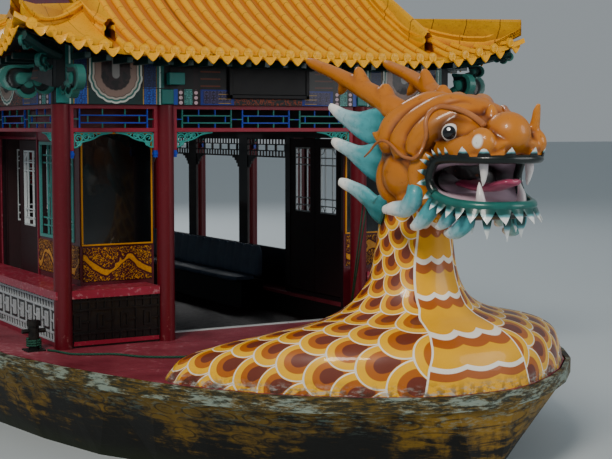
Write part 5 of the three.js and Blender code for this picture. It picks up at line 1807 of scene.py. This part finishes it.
places = []
for axis, fixed, start, end, _ in BAYS:
    middle, out = (start + end) / 2, outward(axis, fixed)
    if abs(end - start) > 2 and axis == "y":
        continue
    saloon = axis == "x" and -CABIN + PAVILION - 0.2 < middle < -PAVILION + 0.2
    z, scale = (2.49, (0.42, 1, 0.3)) if saloon else (2.64, (1, 1, 1))
    off = fixed + out * ON_FACE
    if axis == "y":
        places.append(placed((off, middle, z), -out * math.pi / 2, scale))
    else:
        places.append(placed((middle, off, z), 0 if out > 0 else math.pi, scale))
settle(copies("beam_rounds", half_round(0.272, 0.16), places), rounds_finish())

# %% The plaque and the pillars' painted heads
PLAQUE_Y, PLAQUE_Z = 0.47, (2.42, 2.80)


def plaque_piece():
    (low, high), bar, inset = PLAQUE_Z, 0.045, 0.03
    board = ((ON_FACE, inset - PLAQUE_Y, low + inset), (0.090, PLAQUE_Y - inset, high - inset))
    frame_boxes = [((ON_FACE, y0, z0), (0.100, y1, z1)) for y0, y1, z0, z1 in (
        (-PLAQUE_Y, PLAQUE_Y, low, low + bar), (-PLAQUE_Y, PLAQUE_Y, high - bar, high),
        (-PLAQUE_Y, bar - PLAQUE_Y, low, high), (PLAQUE_Y - bar, PLAQUE_Y, low, high))]
    return joined("plaque_blank",
                  [timbers("board", [board], 0.003), timbers("frame", frame_boxes, 0.008)])


settle(plaque_piece(), timber_finish("plaque_black", "050506", "121012"),
       replaces=["plaque"])
head_boxes = []
for x in (0.0, -CABIN):
    out = outward("y", x)
    for y in (-PILLAR_Y, -PORTAL_Y, PORTAL_Y, PILLAR_Y):
        head_boxes.append(((x + out * 0.062, y - 0.065, 2.36), (x + out * 0.082, y + 0.065, 2.505)))
    for y in (-PORTAL_Y + 0.08, PORTAL_Y - 0.08):
        head_boxes.append(((x + out * 0.062, y - 0.085, 2.55), (x + out * 0.135, y + 0.085, 2.67)))
settle(timbers("pillar_heads", head_boxes, 0.006), lath_teal)

# %% [markdown]
# ## Under the eaves
#
# Rafters carry the roof's edge. Only their dark ends show, with dark boarding behind them, and at
# each corner a heavier beam runs out under the hip. Rolled clouds are carved on it and under it,
# and more of them stand out from the corner pillar as brackets.

# %% Rafters and corner beams
RAFTER_Z, RAFTER_HALF = (2.725, 2.785), 0.030
RAFTER_ENDS = (0.56, 0.07)
rafter_boxes = []
for middle in ROOF_MIDDLES.values():
    for i in range(21):
        y = -2.10 + i * 0.21
        for end in (1, -1):
            x0, x1 = sorted(middle + end * (HALF_X - inset) for inset in RAFTER_ENDS)
            z0, z1 = (z + corner_share(HALF_X - 0.1, y) * CORNER_UP for z in RAFTER_Z)
            rafter_boxes.append(((x0, y - RAFTER_HALF, z0), (x1, y + RAFTER_HALF, z1)))
    for i in range(15):
        x = middle - 1.33 + i * 0.19
        for side in (1, -1):
            y0, y1 = sorted(side * (HALF_Y - inset) for inset in RAFTER_ENDS)
            z0, z1 = (z + corner_share(x - middle, HALF_Y - 0.1) * CORNER_UP for z in RAFTER_Z)
            rafter_boxes.append(((x - RAFTER_HALF, y0, z0), (x + RAFTER_HALF, y1, z1)))
eave_green = lacquer("eave_green", "06201f", "0d3a38", "1e4a48", 0.4)
settle(timbers("rafters", rafter_boxes, 0.004), eave_green)


# %% Rolled clouds and corner beams
# Lobes of a rolled cloud, seen from the side. Columns: x, z, radius, angles from and to.
CLOUD_LOBES = [(0.10, -0.02, 0.10, 200, 330), (0.27, -0.05, 0.11, 215, 350),
               (0.42, 0.03, 0.12, 235, 450), (0.22, 0.10, 0.06, 60, 110)]
# Steps from its rim to its core. Columns: size of the outline, share of the thickness.
CLOUD_STEPS = [
    (1.0, 0.0), (1.0, 1.0), (0.80, 1.0), (0.74, 0.72), (0.5, 0.72), (0.44, 1.0), (0.0, 1.0),
]
CLOUD_CORE = Vector((0.24, 0, 0.02))


def cloud_plank(thickness):
    outline = []
    for x, z, r, a0, a1 in CLOUD_LOBES:
        for k in range(9):
            angle = math.radians(between(a0, a1, k / 8))
            outline.append(Vector((x + r * math.cos(angle), 0, z + r * math.sin(angle))))
    last = len(outline) - 1

    def place(u, v):
        shrink, rise = CLOUD_STEPS[round(v * 6)]
        point = between(CLOUD_CORE, outline[round(u * last)], shrink)
        return point + Vector((0, rise * thickness / 2, 0))
    half = surface("cloud", last, 6, place)
    return smooth(clean(joined("cloud", both_sides([half]))), 40)


def corner_woods():
    beams, clouds = [], []
    for middle in ROOF_MIDDLES.values():
        for sx in (1, -1):
            for sy in (1, -1):
                inner = Vector((middle + sx * 1.30, sy * 2.08, 2.80))
                tip = Vector((middle + sx * 1.985, sy * 2.77, 2.955))
                sag = inner.lerp(tip, 0.5) - Vector((0, 0, 0.03))
                beams.append(tube("beam", [inner, sag, tip], [0.055] * 3, 8, 4))
                angle = math.atan2(tip.y - inner.y, tip.x - inner.x)
                for share, drop, size in ((0.80, 0.03, 0.42), (0.40, 0.13, 0.55)):
                    at = inner.lerp(tip, share) - Vector((0, 0, drop))
                    clouds.append(placed(at, angle, (size, size, size)))
                post = Vector((middle + sx * 1.435, sy * PILLAR_Y, 2.56))
                for turn in (0 if sx > 0 else math.pi, sy * math.pi / 2):
                    way = Vector((math.cos(turn), math.sin(turn), 0))
                    clouds.append(placed(post + way * 0.06, turn))
    return (smooth(joined("corner_beams", beams), 40),
            copies("corner_clouds", cloud_plank(0.075), clouds))


def cloud_finish():
    paint = Finish("cloud_paint", Roughness=0.4, Coat_Weight=0.2)
    hollow = paint.stored("hollow")
    tone = paint.mix(paint.noise(9.0, 4.0), "042322", "083a38")
    # Painted shade in the carved hollows and a painted highlight on the swells.
    tone = paint.coats(
        tone,
        (hollow.past(0.004, 0.004), "020a0b"),
        ((0 - hollow).past(0.007, 0.004), "226059"))
    return paint.done(tone, 0.4, paint.noise(20.0), 0.15, 0.003)


corner_beams, corner_clouds = corner_woods()
# The clouds' hollows and swells are measured for their painted shade and highlights.
hollows(corner_clouds, 3)
settle(corner_beams, eave_green)
settle(corner_clouds, cloud_finish())

# %% Gable boards and ceilings
def roof_boards():
    """A board in each gable, and the boarding seen under the eaves, near black as painted shade."""
    gables, ceilings = [], []
    for middle in ROOF_MIDDLES.values():
        for side in (1, -1):
            def place(u, v):
                x = between(-1.08, 1.08, u)
                foot, head = roof_point(x, side * 1.93).z, roof_point(x, side * 1.87).z
                return Vector((middle + x, side * 1.905,
                               between(foot - 0.02, max(head - 0.03, foot), v)))
            gables.append(surface("gable", 24, 4, place))

        def under(u, v):
            point = roof_point(between(-HALF_X + 0.04, HALF_X - 0.04, u),
                               between(-HALF_Y + 0.04, HALF_Y - 0.04, v))
            return point + Vector((middle, 0, -0.070))
        ceilings.append(surface("ceiling", 32, 48, under))
    boards = []
    for name, parts in (("gable_boards", gables), ("eave_boarding", ceilings)):
        piece = joined(name, parts)
        modify(piece, "SOLIDIFY", thickness=0.006, offset=0)
        apply_modifiers(piece)
        boards.append(smooth(piece, 40))
    return boards


gable_boards, eave_boarding = roof_boards()
settle(gable_boards, lacquer("gable_paint", "4a1426", "6a2438"))
# The boarding's near-black colour is painted shade under the eaves.
settle(eave_boarding, timber_finish("eave_boards", "06080a", "10161a"))

# %% [markdown]
# ## Walls, windows, doors and benches
#
# Behind the pillars of a pavilion stand panelled walls. In front is one large dark glass in a thin
# gilt frame, over a panel with gilt cloud scrolls. At the sides are a latticed window and a doorway
# with two leaves. A bench with a latticed apron runs round each corner. The joiner's pieces are the
# same at both ends and on both sides, so a box is listed once, for one corner, and repeated.

# %% Joinery of the pavilions
END_TO_END = Matrix.Translation((-CABIN, 0, 0)) @ Matrix.Diagonal((-1, 1, 1, 1))
WALL_FACE = 1.93
DOOR_X = (-2.806, -1.556)


def four_corners(boxes):
    every = []
    for low, high in boxes:
        for end in (Matrix.Identity(4), END_TO_END):
            for side in (1, -1):
                flip = end @ Matrix.Diagonal((1, side, 1, 1))
                every.append((flip @ Vector(low), flip @ Vector(high)))
    return every


def joinery(name, boxes, bevel, finish):
    """One kind of joiner's work, listed for one corner and set at all four."""
    settle(timbers(name, four_corners(boxes), bevel), finish)


def around(axis, fixed, s0, s1, z0, z1, bar, depth):
    """Four bars that frame an opening."""
    spans = ((s0, s1, z0, z0 + bar), (s0, s1, z1 - bar, z1), (s0, s0 + bar, z0 + bar, z1 - bar),
             (s1 - bar, s1, z0 + bar, z1 - bar))
    return [bay_box(axis, fixed, *span, depth) for span in spans]


# %% Gilt panels, windows and mouldings
def gilt_finish():
    """Gilt scrolls on maroon: bands of a warped wave, with small curls between them."""
    paint = Finish("gilt_scrolls", Roughness=0.4)
    x, y, z = paint.xyz()
    warp = paint.noise(5.0, 2.0)
    along = x + y
    wave = ((along * 13.0 + warp * 4.0).sine() * 0.075 + 1.615 - z + (warp - 0.5) * 0.16).size()
    body = 1 - wave.past(0.030, 0.006)
    curls = (paint.noise(17.0, 2.0) * 7.0).part().within(0.30, 0.62, 0.06)
    gilt = body.higher(curls * wave.past(0.050, 0.006))
    shine = paint.noise(60.0, 3.0)
    gold = paint.mix(shine, "8a5206", "d89a1c")
    tone = paint.mix(gilt, paint.mix(warp, "2c0208", "4a0710"), gold)
    return paint.done(tone, 0.62 - 0.25 * gilt, gilt + shine * 0.2, 0.7, 0.010)


gilt = lacquer("gilt_frames", "9a6206", "d8961a", "5a3a10", 0.4)
panels = [((-0.299, 1.17, 0.60), (-0.289, 1.90, 0.935)),
          ((-1.53, WALL_FACE - 0.001, 0.62), (-0.32, WALL_FACE + 0.009, 0.95))]
joinery("gilt_panels", panels, 0.002, gilt_finish())
frames = around("y", -0.291, 1.155, 1.915, 0.955, 2.08, 0.016, 0.009)
joinery("gilt_frames", frames, 0.002, gilt)


def glass_finish():
    paint = Finish("dark_glass", Roughness=0.06, Coat_Weight=0.4)
    dust = paint.noise(6.0, 6.0)
    return paint.done(paint.mix(dust, "040506", "0c1114"), 0.05 + 0.2 * dust, dust, 0.03, 0.001)


dark_glass = glass_finish()
joinery("front_glass", [((-0.298, 1.165, 0.97), (-0.290, 1.905, 2.07))], 0, dark_glass)
window_bars = around("x", WALL_FACE, -1.47, -0.45, 0.98, 1.98, 0.032, 0.012)
LATTICE_Y = 1.90
for x in (-1.30, -1.20, -0.72, -0.62):
    window_bars.append(bay_box("x", LATTICE_Y, x - 0.008, x + 0.008, 1.0, 1.96, 0.010))
for z in (1.10, 1.18, 1.76, 1.84):
    window_bars.append(bay_box("x", LATTICE_Y, -1.46, -0.46, z - 0.008, z + 0.008, 0.009))
for x in (-1.25, -0.67):
    for z in (1.42, 1.52):
        window_bars.append(bay_box("x", LATTICE_Y, x - 0.018, x + 0.018, z - 0.018, z + 0.018,
                                   0.011))
faded_teal = lacquer("faded_teal", "1d5a58", "4d9a94", "b8ccc6", 0.9)
joinery("side_window_lattice", window_bars, 0.002, faded_teal)
mouldings = [((-1.53, WALL_FACE - 0.001, 2.0), (-0.32, WALL_FACE + 0.007, 2.34)),
             ((-1.545, WALL_FACE, 0), (-1.525, WALL_FACE + 0.014, 2.34))]
mouldings += around("x", WALL_FACE, DOOR_X[0] - 0.03, DOOR_X[1] + 0.03, 0.0, 2.03, 0.03, 0.012)
worn_crimson = lacquer("worn_crimson", "5a0e1e", "8a2c40", "c89aa0", 1.4)
joinery("wall_mouldings", mouldings, 0.003, worn_crimson)

# %% Aprons of the benches
CELL = 0.085
# Columns: name, axis, the apron's plane, start, end, its paint.
APRONS = [
    ("pale", "x", 2.255, -2.78, -0.09, ("8d9398", "b9c0c4", "4a4a48", 0.8)),
    ("black", "y", 0.034, 1.235, 2.13, ("060607", "101012", "30201c", 0.6)),
]
for colour, axis, fixed, s0, s1, tones in APRONS:
    bars_here = []
    cells = round((s1 - s0) / CELL)
    step = (s1 - s0) / cells
    for z in (0.055, 0.135, 0.365, 0.445):
        bars_here.append(bay_box(axis, fixed, s0, s1, z - 0.010, z + 0.010, 0.009))
    for i in range(cells + 1):
        s = s0 + i * step
        for low, high in ((0.055, 0.135), (0.365, 0.475)) if i % 3 else ((0.055, 0.475),):
            bars_here.append(bay_box(axis, fixed, s - 0.009, s + 0.009, low, high, 0.008))
        if i % 3 == 1 and i < cells:
            bars_here += around(axis, fixed, s, s + step, 0.175, 0.325, 0.022, 0.008)
            bars_here.append(bay_box(axis, fixed, s - step, s, 0.24, 0.26, 0.008))
    joinery(f"{colour}_apron_lattice", bars_here, 0.001, lacquer(colour + "_paint", *tones))
rails = [((-0.036, 1.235, 0.02), (0.044, 2.13, 0.065)), ((-2.78, 2.19, 0.0), (-0.09, 2.262, 0.045))]
joinery("foot_rails", rails, 0.003, crimson)
sills = [((-0.425, -1.05, 0.0), (-0.365, 1.05, 0.012)),
         ((-CABIN + 0.365, -1.05, 0.0), (-CABIN + 0.425, 1.05, 0.012))]
settle(timbers("cabin_sills", sills, 0.002),
       lacquer("sill_metal", "8f9698", "c3c8ca", "5a5452", 0.6))

# %% Lattices in the door leaves
# Columns: leaf, axis its board runs along, the board's middle plane, hinge, way from the hinge.
LEAVES = [
    ("leaf_port_fore", "x", 1.90, -1.562, -1), ("leaf_port_aft", "x", 1.90, -2.80, 1),
    ("leaf_starboard_fore", "x", -1.90, -1.562, -1),
    ("leaf_starboard_aft", "y", -2.7775, -1.8775, 1),
]
chalk = lacquer("chalky_lattice", "9ea9ae", "c8d0d2", "5a5c5a", 0.6)
for leaf, axis, fixed, hinge, way in LEAVES:
    s0, s1 = sorted((hinge + way * 0.11, hinge + way * 0.504))
    bars_here = around(axis, fixed, s0 - 0.002, s1 + 0.002, 1.058, 1.882, 0.020, 0.014)
    for s in (s0 + 0.11, s1 - 0.11):
        bars_here.append(bay_box(axis, fixed, s - 0.007, s + 0.007, 1.06, 1.88, 0.009))
    for z in (1.15, 1.24, 1.66, 1.75):
        bars_here.append(bay_box(axis, fixed, s0, s1, z - 0.007, z + 0.007, 0.008))
    parts = [timbers("bars", bars_here, 0.001)]
    for s, out_s in ((s0, 1), (s1, -1)):
        for z, out_z in ((1.06, 1), (1.88, -1)):
            arc = [(s + out_s * 0.09 * math.cos(a), z + out_z * 0.09 * math.sin(a))
                   for a in (0, 0.4, 0.8, 1.2, 1.57)]
            line = [(p, fixed, q) if axis == "x" else (fixed, p, q) for p, q in arc]
            parts.append(tube("arc", line, [0.007] * 5, 6, 2))
    lattice = joined(leaf + "_lattice", parts)
    settle(smooth(lattice, 40), chalk, body=leaf)

# %% [markdown]
# ## The saloon's sides
#
# Between the pavilions the sides are open above a low wall. Posts stand at the pillars, and a band
# of small openings runs along the top: two rows of squares with a row of wide ones between. Stepped
# corner pieces hang under it. The band is sawn from boards, so here it is a grid of real bars with
# light between them.

# %% Saloon walls
SALOON = (-CABIN + PAVILION + 0.062, -PAVILION - 0.062)
SALOON_WALL = (2.092, 2.132)
POST_HALF = 0.13
wall_boxes = []


def on_wall(s0, s1, z0, z1, inset=0.0):
    for side in (1, -1):
        y0, y1 = sorted((side * (SALOON_WALL[0] + inset), side * (SALOON_WALL[1] - inset)))
        wall_boxes.append(((s0, y0, z0), (s1, y1, z1)))


on_wall(*SALOON, 0.0005, 0.50)
on_wall(*SALOON, 1.985, 2.35)
for x in PILLARS_X[1:-1]:
    on_wall(max(SALOON[0], x - POST_HALF), min(SALOON[1], x + POST_HALF), 0.49, 1.99)
for fore, aft in zip(PILLARS_X[1:], PILLARS_X[2:-1]):
    s0, s1 = aft + POST_HALF, fore - POST_HALF
    for z, half in ((1.735, 0.010), (1.815, 0.007), (1.90, 0.007), (1.978, 0.008)):
        on_wall(s0, s1, z - half, z + half, 0.008)
    cells = 16
    step = (s1 - s0) / cells
    for i in range(1, cells):
        s = s0 + i * step
        for low, high in ((1.735, 1.815), (1.90, 1.978)) if i % 3 else ((1.735, 1.978),):
            on_wall(s - 0.007, s + 0.007, low, high, 0.009)
        if i % 3 == 0:
            on_wall(s - 0.018, s + 0.018, 1.815, 1.90, 0.009)
    for k, (length, z) in enumerate(((0.22, 1.700), (0.15, 1.665), (0.10, 1.625), (0.06, 1.575))):
        on_wall(s0, s0 + length, z, z + 0.028 + 0.01 * k, 0.008)
        on_wall(s1 - length, s1, z, z + 0.028 + 0.01 * k, 0.008)


# %% The saloon's paint
def wall_finish(name):
    """Crimson outside, and near black within as painted shade, where the light comes only through
    the windows.
    """
    paint = Finish(name, Roughness=0.4, Coat_Weight=0.2)
    y = paint.xyz()[1].size()
    grain = paint.noise(5.0, 5.0, 0.6, paint.stretched((0.5, 2.0, 2.0)))
    inner = paint.mix(grain, "0c0507", "1c0b10")
    outer = paint.mix(grain, "4a0a16", "6c1626")
    # Painted shade on the inner faces.
    tone = paint.mix(y.past(2.126, 0.002), inner, outer)
    return paint.done(tone, 0.35 + 0.25 * grain, grain, 0.2, 0.003)


settle(timbers("saloon_sides", wall_boxes, 0.002), wall_finish("saloon_paint"),
       replaces=["saloon_wall_port", "saloon_wall_starboard"])

# %% [markdown]
# ## Seats
#
# The seats are padded benches along both sides, dark blue-grey, quilted in upright channels. A pad
# bulges between its seams, so each one is a closed rounded section along the boat that swells and
# pinches at every seam. The backs have two channels to a seat.

# %% Padded seats
SEATS = (-10.74, -3.40)
SEAT_COUNT = 15
SEAT_WALL, FLOOR_Z = -1.795, -0.27
# Columns: distance of the section's points inboard of the back's rear face, height over the floor.
BACK_SECTION = [
    (0.000, 0.400), (0.000, 0.620), (0.006, 0.790), (0.030, 0.826), (0.052, 0.810), (0.074, 0.700),
    (0.092, 0.560), (0.100, 0.450), (0.070, 0.402), (0.030, 0.392),
]
SEAT_SECTION = [
    (0.100, 0.376), (0.280, 0.372), (0.440, 0.374), (0.466, 0.392), (0.470, 0.420), (0.440, 0.438),
    (0.300, 0.440), (0.160, 0.438), (0.098, 0.430), (0.088, 0.400),
]


def pad(name, section, seams, depth):
    """A pad along the boat, pinched by a depth at every seam."""
    rows = np.array([*section, section[0]], float)
    middle = rows[:-1].mean(axis=0)

    def place(u, v):
        across, up = blend_rows(rows, u)
        cell = abs((v * seams) % 1.0 - 0.5) * 2
        tuck = 1 - depth * max(0.0, cell) ** 6
        close = min(v, 1 - v) * seams
        tuck *= min(1.0, 0.80 + 0.8 * close)
        across, up = middle + (np.array([across, up]) - middle) * tuck
        return Vector((between(*SEATS, v), SEAT_WALL + across, FLOOR_Z + up))
    return smooth(clean(surface(name, 24, seams * 8, place), 1e-5, closed=True), 60)


def cloth_finish():
    paint = Finish("seat_cloth", Roughness=0.7)
    x, y, z = paint.xyz()
    weave = ((x * 900.0).sine() * (z * 900.0 + y * 900.0).sine()) * 0.5 + 0.5
    wear = paint.noise(5.0, 4.0)
    tone = paint.mix(wear, "34445a", "64788e")
    return paint.done(paint.shade(tone, weave * 0.15), 0.45 + 0.25 * wear, weave + wear, 0.25,
                      0.0015)


seat_cloth = cloth_finish()
base_box = ((SEATS[0], -1.793, -0.2695), (SEATS[1], -1.465, 0.100))
for _, label in reversed(SIDES):
    base = timbers("seat_base_" + label, [base_box], 0.006)
    pads = [pad("seat_back_" + label, BACK_SECTION, SEAT_COUNT * 2, 0.13),
            pad("seat_pad_" + label, SEAT_SECTION, SEAT_COUNT, 0.10)]
    if label == "port":
        for piece in (base, *pads):
            piece.data.transform(TO_PORT)
            piece.data.flip_normals()
    settle(base, timber_finish("seat_base_paint_" + label, "0a0c10", "181c22"),
           replaces=["seat_row_" + label])
    for piece in pads:
        settle(piece, seat_cloth)

# %% [markdown]
# ## Finishes for the imported structure
#
# The hull, the decks, the stern gear and the plain walls keep their packed form and only need a
# finish each: weathered paint with moss at the waterline, worn deck paint, greased steel, bronze,
# and painted shade on the faces inside the cabin and behind the benches' lattices.

# %% Hull and deck finishes
def hull_finish():
    paint = Finish("hull_paint", Roughness=0.55)
    x, y, z = paint.xyz()
    stain = paint.noise(2.5, 6.0, 0.65, paint.stretched((1.0, 1.0, 0.35)))
    row = z * 9.0
    scale = ((x * 4.0 + row.floor() * 0.5).part() - 0.5)
    lift = (row.part() - 0.55) * 0.9
    arc = ((scale * scale + lift * lift).root()).within(0.34, 0.42, 0.02)
    streak = paint.noise(2.6, 8.0, 0.72, paint.stretched((1.0, 1.0, 6.0)))
    patches = stain * 0.45 + streak * 0.55 + (z - 0.42) * 0.30 - (x + 2.0).size() * 0.005
    tone = paint.mix(patches.past(0.47, 0.10), "090906", paint.mix(stain, "4a3808", "94701a"))
    dashes = paint.noise(5.0, 4.0).past(0.45, 0.1)
    tone = paint.mix(arc * dashes * 0.7 * z.past(0.06, 0.05), tone, "0d0c07")
    flecks = paint.noise(9.0, 6.0, 0.7, paint.stretched((1.0, 1.0, 5.0))).past(0.56, 0.05)
    tone = paint.mix(flecks * z.past(0.62, 0.30) * 0.6, tone, "7f9488")
    # Painted shade: near black on the hull's faces inside the cabin pit and the engine well.
    across = y.size()
    cabin_pit = (1 - across.past(1.83, 0.01)) * x.within(-6.74, 6.60, 0.02) * z.past(0.5, 0.02)
    engine_well = (1 - across.past(0.51, 0.01)) * x.within(-8.46, -7.39, 0.01)
    engine_well = engine_well * z.past(-0.16, 0.01)
    tone = paint.mix(cabin_pit.higher(engine_well), tone, "14090a")
    moss = (1 - z.past(0.10, 0.16)) * stain.past(0.35, 0.2)
    tone = paint.coats(tone, (moss, "1c2410"), (1 - z.past(-0.02, 0.04), "1b2320"))
    return paint.done(tone, 0.45 + 0.3 * stain, stain + arc * 0.2, 0.35, 0.006)


def strake_finish():
    """Scraped paint: long pale and gilt streaks on a dark ground."""
    paint = Finish("strake_paint", Roughness=0.5)
    broad = paint.noise(2.4, 8.0, 0.7, paint.stretched((1.0, 1.0, 4.0)))
    fine = paint.noise(8.0, 7.0, 0.75, paint.stretched((1.0, 1.0, 7.0)))
    tone = paint.mix(broad, "0c0c08", "3a3a28")
    tone = paint.coats(
        tone,
        (fine.past(0.50, 0.08) * 0.8, "6a5214"),
        ((broad * 0.6 + fine * 0.4).past(0.53, 0.06) * 0.75, "8b9c92"))
    return paint.done(tone, 0.45 + 0.3 * fine, broad + fine, 0.4, 0.004)


def deck_finish(name, dark, light, worn):
    paint = Finish(name, Roughness=0.5)
    wear = paint.noise(0.9, 6.0, 0.62)
    fine = paint.noise(14.0, 6.0, 0.7)
    tone = paint.mix(wear.past(0.50, 0.35), dark, light)
    tone = paint.mix((fine + wear - 0.5).past(0.68, 0.12) * 0.4, tone, worn)
    x = paint.xyz()[0]
    seam = ((x / 1.2).part() - 0.5).size().past(0.4965, 0.001)
    tone = paint.mix(seam * 0.6, tone, "1a0a0c")
    return paint.done(tone, 0.28 + 0.4 * fine, fine + wear - seam, 0.25, 0.004)


# %% Finishes of metal, benches and walls
def metal_finish(name, dark, light, metallic, rough):
    paint = Finish(name, Metallic=metallic)
    spots = paint.noise(7.0, 7.0, 0.68)
    tone = paint.mix(spots.past(0.5, 0.3), dark, light)
    return paint.done(tone, rough + 0.25 * spots, spots, 0.3, 0.002)


def bench_finish():
    paint = Finish("bench_paint", Roughness=0.4, Coat_Weight=0.2)
    z = paint.xyz()[2]
    wear = paint.noise(3.0, 6.0)
    fine = paint.noise(26.0, 5.0).past(0.60, 0.08)
    slab = paint.mix(wear, "6e0e22", "a02a44")
    slab = paint.mix(fine * 0.35, slab, "c89aa0")
    # Below the seat slab the apron is near black: painted shade behind the lattice that stands in
    # front of it.
    tone = paint.mix(z.past(1.329, 0.002), paint.mix(wear, "050505", "0c0a0b"), slab)
    return paint.done(tone, 0.3 + 0.3 * wear, wear + fine * 0.2, 0.2, 0.003)


def porch_finish():
    """Maroon outside, and near black on the faces that look into the cabin, as painted shade."""
    paint = Finish("porch_paint", Roughness=0.4, Coat_Weight=0.2)
    x, y, _ = paint.xyz()
    wear = paint.noise(4.0, 6.0)
    out = y.size().past(1.925, 0.003).higher((x + 0.07).size().past(6.76, 0.003))
    # Painted shade on the faces inside the cabin.
    tone = paint.mix(out, paint.mix(wear, "0d0508", "221016"), paint.mix(wear, "35040c", "5c1120"))
    return paint.done(tone, 0.35 + 0.25 * wear, wear, 0.2, 0.003)


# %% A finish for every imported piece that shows
def dress(finish, *names):
    """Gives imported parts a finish. Their form stays as packed."""
    for name in names:
        piece = nodes[name]
        piece.data.materials.clear()
        piece.data.materials.append(finish)


CORNERS = ("fore_port", "fore_starboard", "aft_port", "aft_starboard")
dress(hull_finish(), "hull")
dress(deck_finish("deck_paint", "5a1622", "923c4a", "c09096"), "deck")
# The cabin's floor boards are far darker than the deck, as painted shade inside the cabin.
dress(deck_finish("cabin_boards", "14090a", "2a1416", "4a3432"), "cabin_floor")
dress(strake_finish(), "strake")
dress(metal_finish("black_steel", "0b0c0d", "2a2724", 0.3, 0.4), "skeg", "rudder",
      *["bollard_" + c for c in CORNERS])
dress(metal_finish("cast_bronze", "4a3410", "9a7432", 1.0, 0.3), "propeller")
dress(metal_finish("engine_grey", "23282b", "4a5054", 0.4, 0.45), "engine_block")
dress(metal_finish("hatch_paint", "3a1016", "6a2630", 0.0, 0.4), "hatch_coaming", "engine_hatch")
dress(timber_finish("inner_beam_paint", "0a0f12", "161e22"), "inner_beam_fore", "inner_beam_aft")
dress(porch_finish(), *["porch_wall_" + c for c in CORNERS])
dress(timber_finish("leaf_wood", "150709", "2c1015"), *[leaf[0] for leaf in LEAVES])
dress(bench_finish(), *["bench_" + c for c in CORNERS])
dress(dark_glass, "window_pane_port", "window_pane_starboard")
dress(glazed_ridge, "ridge_fore", "ridge_aft")
dress(deck_finish("saloon_roof_sheet", "26332f", "3f4d47", "66746c"), "roof_saloon")

# %% [markdown]
# ## The tail, the bollard's turns and two strands
#
# The tail is a tapered limb with the same painted scales, which here lie in even rings, and it ends
# in flames. Green rope is wound on the starboard bollard, and two thin strands of it run from the
# mane down to the deck.

# %% Tail
TAIL = [
    (-16.35, 0, .06, 1.30, .50), (-16.90, 0, .33, .90, .62), (-17.45, 0, .76, .62, .56),
    (-17.85, 0, 1.35, .46, .46), (-17.95, 0, 1.95, .34, .34), (-17.70, 0, 2.48, .24, .24),
    (-17.42, 0, 2.76, .15, .15),
]


def tail_finish():
    paint = Finish("tail_scales", Roughness=0.34, Coat_Weight=0.15)
    ring = arcs(paint)
    fade = paint.noise(5.0, 4.0)
    colour = paint.mix(fade * 0.28, scale_colours(paint, ring), "9a5a10")
    return paint.done(colour, 0.3 + 0.3 * fade, 1 - ring.past(0.965, 0.05), 0.5, 0.006)


tail = limb("dragon_tail_scaled", TAIL, 48, 96)
for spot in tail.data.uv_layers.active.data:
    spot.uv = (spot.uv.x * 12, -spot.uv.y * 24)
pick(tail)
bpy.ops.object.mode_set(mode="EDIT")
bpy.ops.mesh.select_all(action="SELECT")
bpy.ops.mesh.bisect(plane_co=(0, 0, 0.001), plane_no=(0, 0, 1), use_fill=True, clear_inner=True)
bpy.ops.object.mode_set(mode="OBJECT")
settle(tail, tail_finish(), replaces=["dragon_tail"])
TAIL_FIN = [
    [(-17.56, 0, 2.64, .24, .06), (-17.38, 0, 3.01, .26, .06), (-17.56, 0, 3.42, .05, .02)],
    [(-17.56, 0, 2.64, .24, .06), (-17.18, 0, 2.92, .24, .06), (-16.98, 0, 3.26, .05, .02)],
    [(-17.56, 0, 2.64, .22, .06), (-17.15, 0, 2.72, .22, .06), (-16.80, 0, 2.90, .05, .02)],
]
settle(flames("tail_fin_flames", TAIL_FIN, 1), teal_flames, replaces=["tail_fin"])

# %% Rope on the bollard and strands at the mane
BOLLARD, TURN_R, CLIMB = Vector((-0.05, -2.5, 0.035)), 0.064, 0.0035
turns = [BOLLARD + Vector((TURN_R * math.cos(a), TURN_R * math.sin(a), a * CLIMB))
         for a in np.linspace(0.6, 24.0, 150)]
wound, _ = rope("bollard_turns", turns)
settle(wound, green_rope)
STRAND_ENDS = (((2.61, -0.42, 1.535), (1.80, -0.11, 0.28)),
               ((2.57, -0.43, 1.57), (1.72, -0.06, 0.26)))
strands = []
for start, end in STRAND_ENDS:
    start, end = Vector(start), Vector(end)
    strands.append(rope("strand", [start, start.lerp(end, 0.5), end], 0.014)[0])
settle(joined("mane_strands", strands), green_rope)
